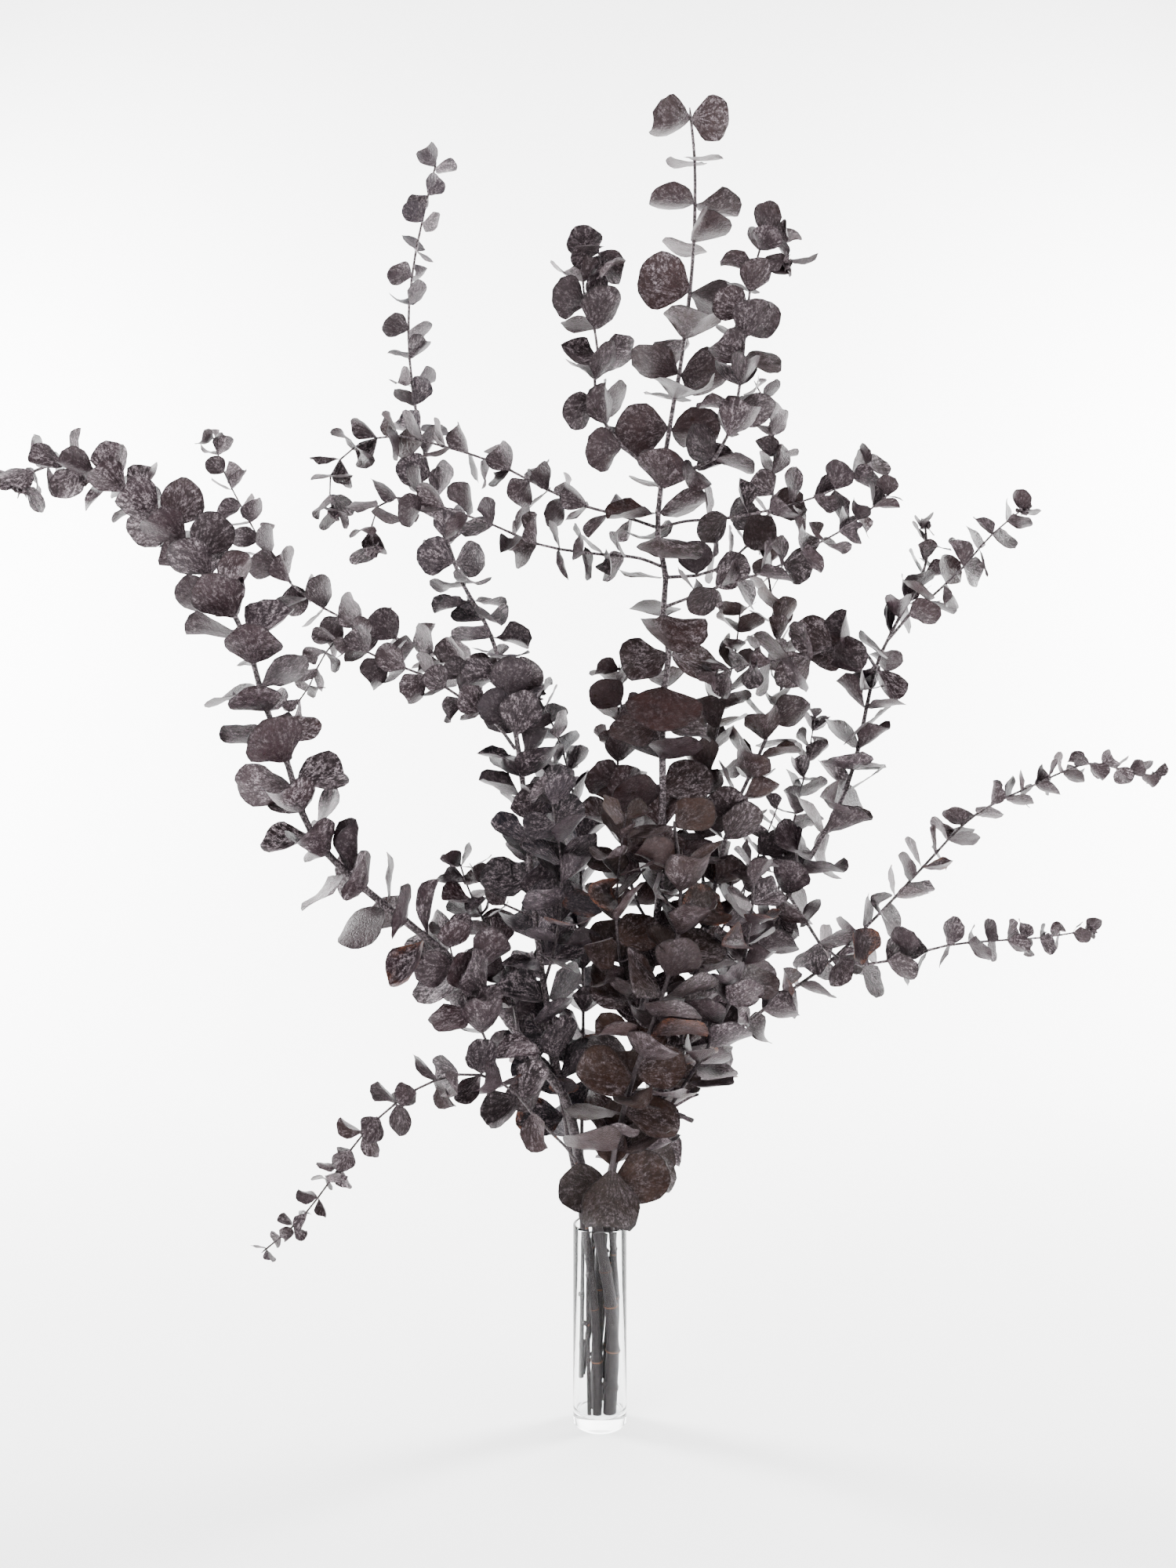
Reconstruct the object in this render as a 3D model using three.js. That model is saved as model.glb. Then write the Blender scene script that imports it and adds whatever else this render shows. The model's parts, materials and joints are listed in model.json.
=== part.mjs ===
// Preserved eucalyptus branches standing in a clear glass cylinder vase.
// Millimetres, +Z up. The origin is the middle of the vase's foot and the front faces -Y.
import * as THREE from 'three';

// Driving sizes of the vase
const vaseSize = {
  radius: 20,
  height: 148,
  wall: 2.2,
  floor: 9.5,
  footRadius: 18.2,
  innerCorner: 3.6,
  sides: 36,
};

// A shoot's route is given as it is seen from the front: across and down in points of a picture,
// and its depth behind the vase's axis in millimetres. These values turn that into a place.
const view = {
  distance: 926,
  height: 475,
  side: -8.8,
  millimetresPerPoint: 0.584,
  middleAcross: 750,
  middleDown: 1000,
};

// Leaf and stem proportions shared by all shoots
const leafThickness = 1.0;
const largeLeaf = 30;
const leafRoundness = 0.96;
const leafBellyAt = 0.45;
const bandPerRadius = 1.1;
const bandLimits = [1.3, 3.2];
const bareStep = 26;
const leafGap = 1.1;
const stemGap = 0.7;
const graftGap = 0.45;
const leafTries = 26;
const openShare = 0.72;
const hangShare = 0.22;
const deg = Math.PI / 180;

// Leaf colours, from the photograph
const aubergine = 0x4f4143;
const redBrown = 0x5a4240;
const warmBrown = 0x5d4a46;
const greyBrown = 0x625a5c;
const slate = 0x6c6b74;

// The leaf pairs of the tall centre stem, from its tip down. down is the pair's height in the view.
// The first pose is the left or the back leaf's and the second the right or the front leaf's, with
// lift, swing and roll in degrees, and size and width as shares of the usual leaf.
const flat = { lift: 0, swing: 0, roll: 0, size: 1 };
const hanging = { lift: -46, swing: 6, roll: 0, size: 1, wide: 1.3 };
const centrePairs = [
  { down: 150, poses: [{ ...flat, lift: -14, roll: 34, size: 1.05 }, { ...flat, lift: 4, roll: -62 }] },
  { down: 205, poses: [{ ...flat, lift: 22, size: 0.9 }, { ...flat, lift: -23, size: 0.9 }] },
  { down: 261, poses: [{ ...flat, lift: -4 }, { ...flat, roll: 4 }] },
  { down: 309, poses: [{ ...flat, lift: 14 }, { ...flat, lift: 5, wide: 1.15 }] },
  { down: 374, poses: [{ ...flat, lift: 10, roll: 58, size: 1.08 }, { ...flat, lift: -8, roll: -16 }] },
  { down: 432, poses: [{ ...flat, lift: -8 }, { ...flat, lift: 10, size: 1.1, wide: 1.2 }] },
  { down: 476, poses: [{ ...flat, lift: 6, roll: 24 }, { ...flat, lift: -28, roll: -50 }] },
  { down: 510, poses: [{ ...flat, lift: 20 }, { ...flat, lift: -4, size: 1.1, wide: 1.15 }] },
  { down: 548, poses: [{ ...flat, lift: -20, roll: 64 }, { ...flat, lift: 12, roll: -60 }] },
  { down: 622, poses: [{ ...flat, lift: 30 }, { ...hanging, wide: 1.2 }] },
  { down: 655, poses: [{ ...flat, lift: -10, roll: -20 }, { ...flat, lift: -12, roll: 30 }] },
  { down: 686, poses: [{ ...flat, lift: 24 }, { ...hanging, lift: -42, size: 1.05 }] },
  { down: 736, poses: [{ ...flat, roll: -10, size: 0.9 }, { ...flat, lift: -20, roll: 48 }] },
  { down: 786, poses: [{ ...flat, lift: 24 }, { ...hanging, size: 1.05 }] },
  { down: 834, poses: [{ ...flat, lift: -16, roll: -52, size: 0.95 }, { ...flat, lift: -20, roll: 56 }] },
  { down: 876, poses: [{ ...flat, lift: 20 }, { ...hanging, swing: -8, size: 1.15, wide: 1.36 }] },
  { down: 924, poses: [{ ...flat, lift: -14, roll: -46 }, { ...flat, lift: -8, roll: 40 }] },
  { down: 968, poses: [{ ...flat, lift: 24 }, { ...hanging, lift: -40, swing: -4, size: 1.1 }] },
];

// Every cut stem stands in the vase along foot, in millimetres, and goes on along seen.
// radius, leaf and spacing are given as [at the base, at the tip].
// ramp is the length from the tip over which the leaves grow to full size.
// bare is the length from the base that has no leaves, and turn and twist place the leaf pairs.
// hang is the share of the leaves in front of and behind the stem that hang, where it isn't the usual.
const cutStems = [
  {
    name: 'centre_stem', colour: redBrown, seed: 11, turn: 0, twist: 20,
    radius: [4.6, 1.1], leaf: [37, 31], ramp: 160, spacing: [25, 30], bare: 172,
    nodesAt: centrePairs,
    foot: [[-2.5, 1.3, 10.3], [-1.5, 2.6, 80], [2.8, 1.9, 150]],
    seen: [[800, 1400, -8], [826, 1250, -14], [843, 1120, -18], [845, 1011, -20], [846, 889, -22],
      [853, 837, -24], [846, 785, -25], [849, 736, -25], [839, 681, -25], [843, 621, -24],
      [850, 572, -22], [860, 510, -20], [866, 480, -18], [880, 372, -14], [885, 307, -12],
      [886, 205, -8], [880, 140, -6]],
  },
  {
    name: 'left_arch_stem', colour: aubergine, seed: 23, turn: 30, twist: -35,
    radius: [5.2, 1.0], leaf: [38, 23], ramp: 230, spacing: [18, 12], bare: 325,
    foot: [[7, -6.6, 10.3], [9, -7.2, 76], [-2, -9.5, 148]],
    seen: [[741, 1488, -13], [720, 1400, -22], [679, 1346, -30], [645, 1298, -36], [595, 1242, -44],
      [541, 1194, -50], [485, 1150, -56], [429, 1101, -60], [393, 1054, -62], [366, 972, -64],
      [338, 898, -64], [312, 812, -60], [270, 737, -54], [212, 663, -46], [143, 616, -38],
      [90, 594, -32], [45, 600, -28], [30, 622, -26]],
  },
  {
    name: 'right_stem', colour: aubergine, seed: 37, turn: 25, twist: 40,
    radius: [4.2, 1.0], leaf: [39, 19], ramp: 260, spacing: [18, 12], bare: 170, hang: 0.55,
    foot: [[-5.5, 10.8, 10.3], [1.5, 12.2, 80], [6.5, 11, 148]],
    seen: [[850, 1400, 26], [905, 1300, 34], [966, 1206, 40], [1012, 1130, 42], [1048, 1068, 38],
      [1075, 1017, 34], [1093, 961, 30], [1106, 899, 26], [1119, 846, 24], [1147, 788, 24],
      [1171, 747, 26], [1182, 712, 28], [1180, 668, 30]],
  },
  {
    name: 'upright_left_stem', colour: slate, seed: 41, turn: 18, twist: 30,
    radius: [3.6, 0.8], leaf: [36, 18], ramp: 560, spacing: [15, 23], bare: 192, hang: 0.4,
    foot: [[-2, -8.6, 10.3], [-3.6, -6.4, 80], [-11.5, -4, 148]],
    seen: [[724, 1440, -4], [704, 1320, -10], [686, 1200, -16], [676, 1094, -18], [667, 1000, -14],
      [655, 920, -6], [637, 843, 6], [619, 795, 18], [588, 740, 32], [565, 670, 44], [544, 590, 54],
      [526, 494, 62], [521, 410, 66], [528, 335, 68], [543, 263, 70], [556, 209, 72]],
  },
  {
    name: 'centre_right_stem', colour: redBrown, seed: 53, turn: 40, twist: 30,
    radius: [3.4, 0.9], leaf: [35, 19], ramp: 230, spacing: [17, 13], bare: 170, hang: 0.4,
    foot: [[4.5, 12.5, 10.6], [9.6, 9.6, 80], [13.5, 4, 148]],
    seen: [[842, 1420, -2], [884, 1260, -6], [912, 1130, -8], [934, 1040, 0], [966, 968, 14],
      [995, 890, 36], [996, 830, 56], [984, 762, 70], [975, 694, 80]],
  },
  {
    name: 'right_arch_stem', colour: greyBrown, seed: 61, turn: 30, twist: 25,
    radius: [2.5, 0.7], leaf: [30, 14], ramp: 300, spacing: [18, 11], bare: 270,
    foot: [[-13.4, 3.5, 34], [-6.5, 11, 80], [-2, 12.2, 148]],
    seen: [[806, 1480, 34], [880, 1370, 58], [970, 1291, 74], [1053, 1231, 84], [1122, 1165, 92],
      [1180, 1103, 98], [1242, 1041, 104], [1322, 1000, 110], [1390, 974, 114], [1440, 984, 118],
      [1475, 990, 122]],
  },
  {
    name: 'low_left_stem', colour: greyBrown, seed: 71, turn: 15, twist: -30,
    radius: [1.6, 0.6], leaf: [27, 10], ramp: 220, spacing: [17, 11], bare: 250,
    foot: [[-7.6, -10.5, 10.6], [-8.8, -10.2, 80], [-9.5, -13, 148]],
    seen: [[738, 1488, -26], [716, 1458, -40], [685, 1427, -56], [650, 1388, -72], [604, 1370, -84],
      [550, 1380, -94], [499, 1412, -102], [457, 1454, -108], [422, 1505, -112], [382, 1556, -114],
      [336, 1596, -116]],
  },
  {
    name: 'slender_stem', colour: slate, seed: 83, turn: 35, twist: 20,
    radius: [2.0, 0.8], leaf: [32, 20], ramp: 120, spacing: [16, 12], bare: 215,
    foot: [[-14, -1.5, 34], [-13.8, 0, 80], [-13.5, 4.5, 148]],
    seen: [[742, 1440, 20], [744, 1300, 34], [742, 1180, 42], [738, 1066, 46], [724, 980, 44],
      [705, 925, 36], [683, 884, 26]],
  },
  {
    name: 'front_stem', colour: warmBrown, seed: 97, turn: 8, twist: 15,
    radius: [3.0, 1.2], leaf: [42, 32], ramp: 120, spacing: [15, 15], bare: 176, hang: 0.9,
    foot: [[10, 6, 10.6], [13, 2.5, 76], [12.2, -2.6, 104], [8.5, -9.5, 148]],
    seen: [[782, 1480, -40], [806, 1380, -58], [838, 1290, -66], [862, 1210, -66], [868, 1130, -62],
      [860, 1050, -58]],
  },
  {
    name: 'front_right_stem', colour: warmBrown, seed: 103, turn: 30, twist: 15,
    radius: [2.3, 1.0], leaf: [35, 22], ramp: 120, spacing: [17, 13], bare: 160, hang: 0.6,
    foot: [[3.5, 6, 30], [6.6, 3.2, 80], [7.4, 1.8, 104], [12.5, -3.2, 148]],
    seen: [[812, 1480, -16], [862, 1400, -30], [906, 1330, -40], [942, 1250, -44], [958, 1170, -44],
      [962, 1100, -42]],
  },
];

// A side shoot grows from the stem called from, near the first point of seen
const sideShoots = [
  {
    name: 'centre_shoot_high_left', from: 'centre_stem', colour: greyBrown,
    seed: 211, turn: 20, twist: 30,
    radius: [1.3, 0.6], leaf: [24, 20], ramp: 60, spacing: [17, 13], bare: 20,
    seen: [[845, 674, -24], [800, 660, -12], [748, 646, 0], [697, 624, 8], [630, 590, 12],
      [568, 570, 10], [501, 556, 4], [450, 572, 0], [422, 607, -2], [424, 656, -4]],
  },
  {
    name: 'centre_shoot_low_left', from: 'centre_stem', colour: greyBrown,
    seed: 223, turn: 35, twist: -20,
    radius: [1.3, 0.6], leaf: [24, 20], ramp: 60, spacing: [17, 13], bare: 22,
    seen: [[853, 722, -24], [812, 711, -24], [778, 708, -32], [745, 705, -44], [686, 694, -60],
      [630, 670, -68], [579, 652, -74], [532, 636, -76], [488, 640, -78], [474, 672, -80],
      [478, 702, -80]],
  },
  {
    name: 'centre_shoot_up_left', from: 'centre_stem', colour: redBrown,
    seed: 227, turn: 25, twist: 30,
    radius: [1.5, 0.7], leaf: [30, 24], ramp: 70, spacing: [18, 14], bare: 20,
    seen: [[844, 611, -24], [819, 590, -26], [796, 572, -28], [772, 540, -30], [758, 500, -32],
      [763, 455, -32], [757, 415, -32], [745, 385, -32], [746, 345, -32], [760, 316, -34],
      [768, 345, -44]],
  },
  {
    name: 'centre_shoot_up_right', from: 'centre_stem', colour: aubergine,
    seed: 229, turn: 30, twist: -25,
    radius: [1.5, 0.7], leaf: [28, 20], ramp: 120, spacing: [18, 13], bare: 22,
    seen: [[846, 612, -24], [872, 600, -32], [908, 588, -46], [932, 545, -52], [945, 482, -54],
      [951, 418, -54], [960, 353, -52], [977, 305, -50], [998, 300, -48], [1006, 336, -50]],
  },
  {
    name: 'centre_shoot_right_tall', from: 'centre_stem', colour: slate,
    seed: 233, turn: 20, twist: 30,
    radius: [1.4, 0.6], leaf: [25, 18], ramp: 120, spacing: [17, 13], bare: 22,
    seen: [[849, 738, -25], [884, 735, -10], [924, 721, 4], [958, 690, 14], [982, 650, 20],
      [987, 600, 22], [985, 544, 22], [977, 516, 20], [963, 488, 16]],
  },
  {
    name: 'centre_shoot_right_mid', from: 'centre_stem', colour: greyBrown,
    seed: 239, turn: 15, twist: 20,
    radius: [1.3, 0.6], leaf: [25, 18], ramp: 60, spacing: [17, 13], bare: 24,
    seen: [[842, 673, -25], [880, 664, -24], [918, 662, -38], [985, 650, -64], [1045, 632, -84],
      [1084, 613, -90], [1108, 588, -94]],
  },
  {
    name: 'centre_shoot_right_low', from: 'centre_stem', colour: greyBrown,
    seed: 241, turn: 40, twist: 20,
    radius: [1.3, 0.6], leaf: [24, 15], ramp: 100, spacing: [17, 12], bare: 22,
    seen: [[846, 774, -25], [875, 764, -40], [918, 748, -62], [987, 725, -82], [1027, 702, -92],
      [1079, 673, -102], [1136, 629, -110]],
  },
  {
    name: 'upright_left_shoot_outer', from: 'upright_left_stem', colour: aubergine,
    seed: 251, turn: 30, twist: 30,
    radius: [1.6, 0.6], leaf: [27, 17], ramp: 140, spacing: [18, 15], bare: 18,
    seen: [[650, 890, 0], [610, 856, 34], [576, 843, 56], [500, 812, 84], [440, 790, 98],
      [380, 753, 108], [345, 710, 114], [310, 650, 118], [285, 600, 120], [271, 556, 122]],
  },
  {
    name: 'upright_left_shoot_inner', from: 'upright_left_stem', colour: slate,
    seed: 257, turn: 15, twist: 30,
    radius: [1.4, 0.6], leaf: [24, 15], ramp: 120, spacing: [17, 13], bare: 20,
    seen: [[662, 962, -10], [628, 918, -4], [600, 898, 2], [548, 865, 12], [478, 837, 22],
      [436, 812, 28], [412, 838, 30], [391, 881, 30], [366, 911, 30]],
  },
  {
    name: 'upright_left_shoot_small', from: 'upright_left_stem', colour: slate,
    seed: 263, turn: 30, twist: 0,
    radius: [1.1, 0.6], leaf: [24, 17], ramp: 50, spacing: [16, 12], bare: 14,
    seen: [[679, 1170, -16], [652, 1158, -4], [622, 1138, 6], [600, 1103, 12]],
  },
  {
    name: 'right_shoot_upper', from: 'right_stem', colour: greyBrown,
    seed: 269, turn: 25, twist: 20,
    radius: [1.3, 0.6], leaf: [26, 17], ramp: 80, spacing: [18, 13], bare: 18,
    seen: [[1128, 820, 24], [1152, 792, 14], [1185, 764, 4], [1229, 723, -6], [1262, 685, -12],
      [1306, 648, -18]],
  },
  {
    name: 'right_shoot_inner', from: 'right_stem', colour: aubergine,
    seed: 271, turn: 30, twist: 20,
    radius: [1.4, 0.6], leaf: [32, 18], ramp: 70, spacing: [19, 13], bare: 14,
    seen: [[1115, 850, 25], [1091, 822, 10], [1038, 834, -6], [970, 846, -18], [905, 858, -26]],
  },
  {
    name: 'right_shoot_low', from: 'right_stem', colour: greyBrown,
    seed: 277, turn: 20, twist: 20,
    radius: [1.5, 0.6], leaf: [27, 12], ramp: 170, spacing: [18, 11], bare: 26,
    seen: [[1006, 1142, 42], [1026, 1172, 22], [1052, 1210, 10], [1090, 1230, 4], [1148, 1222, 0],
      [1208, 1206, -2], [1266, 1200, -4], [1328, 1196, -4], [1392, 1186, -4]],
  },
  {
    name: 'right_shoot_young', from: 'right_stem', colour: slate,
    seed: 281, turn: 35, twist: 20,
    radius: [1.2, 0.6], leaf: [27, 16], ramp: 80, spacing: [17, 12], bare: 18,
    seen: [[990, 1166, 41], [996, 1110, 62], [1014, 1040, 78], [1030, 970, 88], [1040, 912, 94]],
  },
  {
    name: 'centre_right_shoot_young', from: 'centre_right_stem', colour: greyBrown,
    seed: 283, turn: 20, twist: 20,
    radius: [1.2, 0.6], leaf: [28, 17], ramp: 70, spacing: [17, 12], bare: 16,
    seen: [[890, 1235, -6], [918, 1190, 14], [950, 1130, 30], [976, 1070, 42], [992, 1028, 48]],
  },
  {
    name: 'low_left_shoot', from: 'low_left_stem', colour: slate,
    seed: 293, turn: 25, twist: 20,
    radius: [1.2, 0.6], leaf: [31, 22], ramp: 60, spacing: [17, 14], bare: 12,
    seen: [[640, 1382, -75], [622, 1330, -66], [600, 1290, -58], [582, 1240, -52], [568, 1180, -46]],
  },
  {
    name: 'upright_left_shoot_low', from: 'upright_left_stem', colour: aubergine,
    seed: 307, turn: 25, twist: 20,
    radius: [1.2, 0.7], leaf: [29, 22], ramp: 50, spacing: [17, 14], bare: 14,
    seen: [[715, 1392, -6], [690, 1362, 4], [664, 1322, 10], [646, 1270, 12]],
  },
  {
    name: 'centre_right_shoot_inner', from: 'centre_right_stem', colour: redBrown,
    seed: 311, turn: 30, twist: 20,
    radius: [1.5, 0.7], leaf: [31, 20], ramp: 90, spacing: [18, 13], bare: 16,
    seen: [[903, 1175, -7], [896, 1110, 14], [898, 1040, 30], [908, 970, 38], [922, 900, 42],
      [938, 830, 42], [944, 780, 42]],
  },
  {
    name: 'centre_shoot_mid_left', from: 'centre_stem', colour: redBrown,
    seed: 313, turn: 20, twist: 25,
    radius: [1.4, 0.7], leaf: [33, 23], ramp: 90, spacing: [16, 13], bare: 14,
    seen: [[834, 1190, -16], [812, 1150, -2], [798, 1095, 10], [790, 1030, 16], [788, 965, 18],
      [792, 900, 18], [790, 850, 18]],
  },
  {
    name: 'centre_shoot_front_left', from: 'centre_stem', colour: warmBrown,
    seed: 317, turn: 30, twist: 20,
    radius: [1.4, 0.7], leaf: [34, 24], ramp: 80, spacing: [16, 13], bare: 14, hang: 0.7,
    seen: [[816, 1305, -12], [800, 1270, -34], [790, 1220, -48], [786, 1160, -56], [790, 1100, -60],
      [798, 1040, -62]],
  },
  {
    name: 'slender_shoot_left', from: 'slender_stem', colour: slate,
    seed: 331, turn: 25, twist: 25,
    radius: [1.2, 0.6], leaf: [33, 23], ramp: 80, spacing: [16, 13], bare: 14,
    seen: [[744, 1260, 36], [728, 1215, 50], [708, 1160, 60], [694, 1100, 66], [694, 1040, 68],
      [704, 985, 68]],
  },
  {
    name: 'upright_left_shoot_front', from: 'upright_left_stem', colour: greyBrown,
    seed: 337, turn: 20, twist: 25,
    radius: [1.3, 0.7], leaf: [33, 23], ramp: 80, spacing: [16, 13], bare: 14,
    seen: [[694, 1255, -13], [706, 1215, -36], [714, 1165, -50], [716, 1105, -56], [708, 1045, -58],
      [700, 1000, -58]],
  },
  {
    name: 'left_arch_shoot_low', from: 'left_arch_stem', colour: aubergine,
    seed: 347, turn: 30, twist: 25,
    radius: [1.3, 0.7], leaf: [32, 22], ramp: 70, spacing: [16, 13], bare: 14,
    seen: [[662, 1322, -33], [655, 1280, -14], [640, 1230, 2], [622, 1185, 12], [600, 1140, 18],
      [586, 1100, 20]],
  },
  {
    name: 'centre_right_shoot_low', from: 'centre_right_stem', colour: aubergine,
    seed: 349, turn: 30, twist: 25,
    radius: [1.3, 0.7], leaf: [32, 22], ramp: 70, spacing: [16, 13], bare: 14,
    seen: [[862, 1350, -4], [886, 1320, 14], [912, 1280, 24], [932, 1230, 30], [944, 1180, 32],
      [950, 1130, 32]],
  },
];

// A small repeatable source of random numbers between 0 and 1
function randomFrom(seed) {
  let state = seed;
  return function next() {
    state = (state + 0x6d2b79f5) | 0;
    let mixed = Math.imul(state ^ (state >>> 15), 1 | state);
    mixed = (mixed + Math.imul(mixed ^ (mixed >>> 7), 61 | mixed)) ^ mixed;
    return ((mixed ^ (mixed >>> 14)) >>> 0) / 4294967296;
  };
}

function placeSeen([across, down, depth]) {
  const spread = view.millimetresPerPoint * (view.distance + depth) / view.distance;
  const x = view.side + (across - view.middleAcross) * spread;
  const z = view.height - (down - view.middleDown) * spread;
  return new THREE.Vector3(x, depth, z);
}

function smoothRoute(points) {
  const route = new THREE.CatmullRomCurve3(points, false, 'centripetal');
  route.arcLengthDivisions = 600;
  return route;
}

function blend(fromValue, toValue, share) {
  return fromValue + (toValue - fromValue) * share;
}

// The direction across a stem as seen from the front, and the direction away from the viewer
function crossAxes(tangent) {
  const away = new THREE.Vector3(0, 1, 0);
  away.addScaledVector(tangent, -away.dot(tangent)).normalize();
  const across = new THREE.Vector3().crossVectors(away, tangent);
  return { across, away };
}

function stemRadius(shoot, along) {
  return blend(shoot.radius[0], shoot.radius[1], Math.pow(along / shoot.length, 0.8));
}

// Where a side shoot starts: just clear of the skin of the stem that it grows from
function graftPoint(parent, target, ownRadius) {
  const steps = 400;
  let nearest = 0;
  let nearestDistance = Infinity;
  const wanted = placeSeen(target[0]);
  for (let step = 0; step <= steps; step += 1) {
    const distance = parent.route.getPointAt(step / steps).distanceTo(wanted);
    if (distance < nearestDistance) {
      nearestDistance = distance;
      nearest = step / steps;
    }
  }
  const onAxis = parent.route.getPointAt(nearest);
  const tangent = parent.route.getTangentAt(nearest);
  const direction = placeSeen(target[1]).sub(onAxis).normalize();
  const cosine = Math.abs(direction.dot(tangent));
  const sine = Math.max(Math.sqrt(1 - cosine * cosine), 0.35);
  const parentRadius = stemRadius(parent, nearest * parent.length);
  const reach = (parentRadius + graftGap + ownRadius * cosine) / sine;
  return onAxis.addScaledVector(direction, reach);
}

// One ring of four corners, in order counter-clockwise as seen from the tip
function stemRing(shoot, along) {
  const share = Math.min(Math.max(along / shoot.length, 0), 1);
  const centre = shoot.route.getPointAt(share);
  const tangent = shoot.route.getTangentAt(share);
  const { across, away } = crossAxes(tangent);
  const radius = stemRadius(shoot, along);
  const corners = [];
  for (let side = 0; side < 4; side += 1) {
    const angle = (shoot.turn + shoot.twist * share + 45 + 90 * side) * deg;
    const corner = centre.clone();
    corner.addScaledVector(across, radius * Math.cos(angle));
    corner.addScaledVector(away, radius * Math.sin(angle));
    corners.push(corner);
  }
  return { centre, tangent, corners, radius };
}

// Distances from the base at which a shoot carries a leaf pair, from the base to the tip
function pairPlaces(shoot, random) {
  const places = [];
  if (shoot.nodesAt) {
    for (const { down } of shoot.nodesAt) {
      let best = 0;
      let bestGap = Infinity;
      for (let along = 0; along < shoot.length; along += 1) {
        const point = shoot.route.getPointAt(along / shoot.length);
        const spread = view.millimetresPerPoint * (view.distance + point.y) / view.distance;
        const gap = Math.abs(view.middleDown - (point.z - view.height) / spread - down);
        if (gap < bestGap) {
          bestGap = gap;
          best = along;
        }
      }
      places.push(Math.min(best, shoot.length - 3));
    }
  }
  let fromTip = places.length ? shoot.length - places[places.length - 1] : 2.5;
  if (!places.length) {
    places.push(shoot.length - fromTip);
  }
  while (true) {
    const grown = Math.min(fromTip / shoot.ramp, 1);
    fromTip += blend(shoot.spacing[1], shoot.spacing[0], grown) * (0.92 + 0.16 * random());
    if (shoot.length - fromTip < shoot.bare) {
      break;
    }
    places.push(shoot.length - fromTip);
  }
  return places.reverse();
}

// Lays out a shoot's stem: rings for the bare part, and a narrow band of two rings at each pair
function layStem(shoot) {
  shoot.random = randomFrom(shoot.seed);
  shoot.length = shoot.route.getLength();
  const pairs = pairPlaces(shoot, shoot.random);
  const rings = [stemRing(shoot, 0)];
  const bands = [];
  let last = 0;
  for (const [index, along] of pairs.entries()) {
    const radius = stemRadius(shoot, along);
    const band = THREE.MathUtils.clamp(radius * bandPerRadius, bandLimits[0], bandLimits[1]);
    const below = along - band / 2;
    const steps = Math.floor((below - last) / bareStep);
    for (let step = 1; step <= steps; step += 1) {
      rings.push(stemRing(shoot, last + (below - last) * step / (steps + 1)));
    }
    const grown = Math.min((shoot.length - along) / shoot.ramp, 1);
    const leafLength = blend(shoot.leaf[1], shoot.leaf[0], grown);
    const fromTip = pairs.length - 1 - index;
    const poses = shoot.nodesAt?.[fromTip]?.poses;
    bands.push({ lower: rings.length, firstSide: (fromTip + 1) % 2, leafLength, poses });
    rings.push(stemRing(shoot, below));
    rings.push(stemRing(shoot, along + band / 2));
    last = along + band / 2;
  }
  shoot.rings = rings;
  shoot.bands = bands;
  shoot.tip = shoot.route.getPointAt(1).addScaledVector(shoot.route.getTangentAt(1), 1.5);
}

// A shape for the clearance test: the convex hull of its points, with a bounding ball
function hullOf(points, owner, ring) {
  const ball = new THREE.Sphere().setFromPoints(points);
  return { points, ball, owner, ring };
}

function furthest(points, direction) {
  let best = points[0];
  let bestReach = -Infinity;
  for (const point of points) {
    const reach = point.dot(direction);
    if (reach > bestReach) {
      bestReach = reach;
      best = point;
    }
  }
  return best;
}

// True when two hulls are further apart than gap: walks the difference of the hulls towards zero
function apart(first, second, gap) {
  const reach = first.ball.radius + second.ball.radius + gap;
  if (first.ball.center.distanceTo(second.ball.center) > reach) {
    return true;
  }
  const nearest = first.points[0].clone().sub(second.points[0]);
  const backwards = new THREE.Vector3();
  const step = new THREE.Vector3();
  for (let round = 0; round < 60; round += 1) {
    const distance = nearest.length();
    if (distance < gap) {
      return false;
    }
    backwards.copy(nearest).negate();
    const support = furthest(first.points, backwards).clone().sub(furthest(second.points, nearest));
    if (support.dot(nearest) > gap * distance) {
      return true;
    }
    step.copy(support).sub(nearest);
    const share = THREE.MathUtils.clamp(-nearest.dot(step) / Math.max(step.lengthSq(), 1e-9), 0, 1);
    nearest.addScaledVector(step, share);
  }
  return false;
}

// Draws how one leaf leaves its stem: lift towards the tip, swing round the stem and roll, in degrees.
// openRoll is the sign of the roll that opens the leaf's face to the front.
function drawPose(shoot, facesAcross, openRoll, attempt) {
  const random = shoot.random;
  const size = 1.05 - 0.02 * attempt - 0.1 * random();
  const swing = -18 + 36 * random();
  if (facesAcross) {
    const sign = random() < openShare ? openRoll : -openRoll;
    return { lift: -14 + 48 * random(), swing, roll: sign * (12 + 44 * random()), size };
  }
  const lift = random() < (shoot.hang ?? hangShare) ? -30 - 34 * random() : 18 + 44 * random();
  return { lift, swing, roll: -20 + 40 * random(), size };
}

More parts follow.
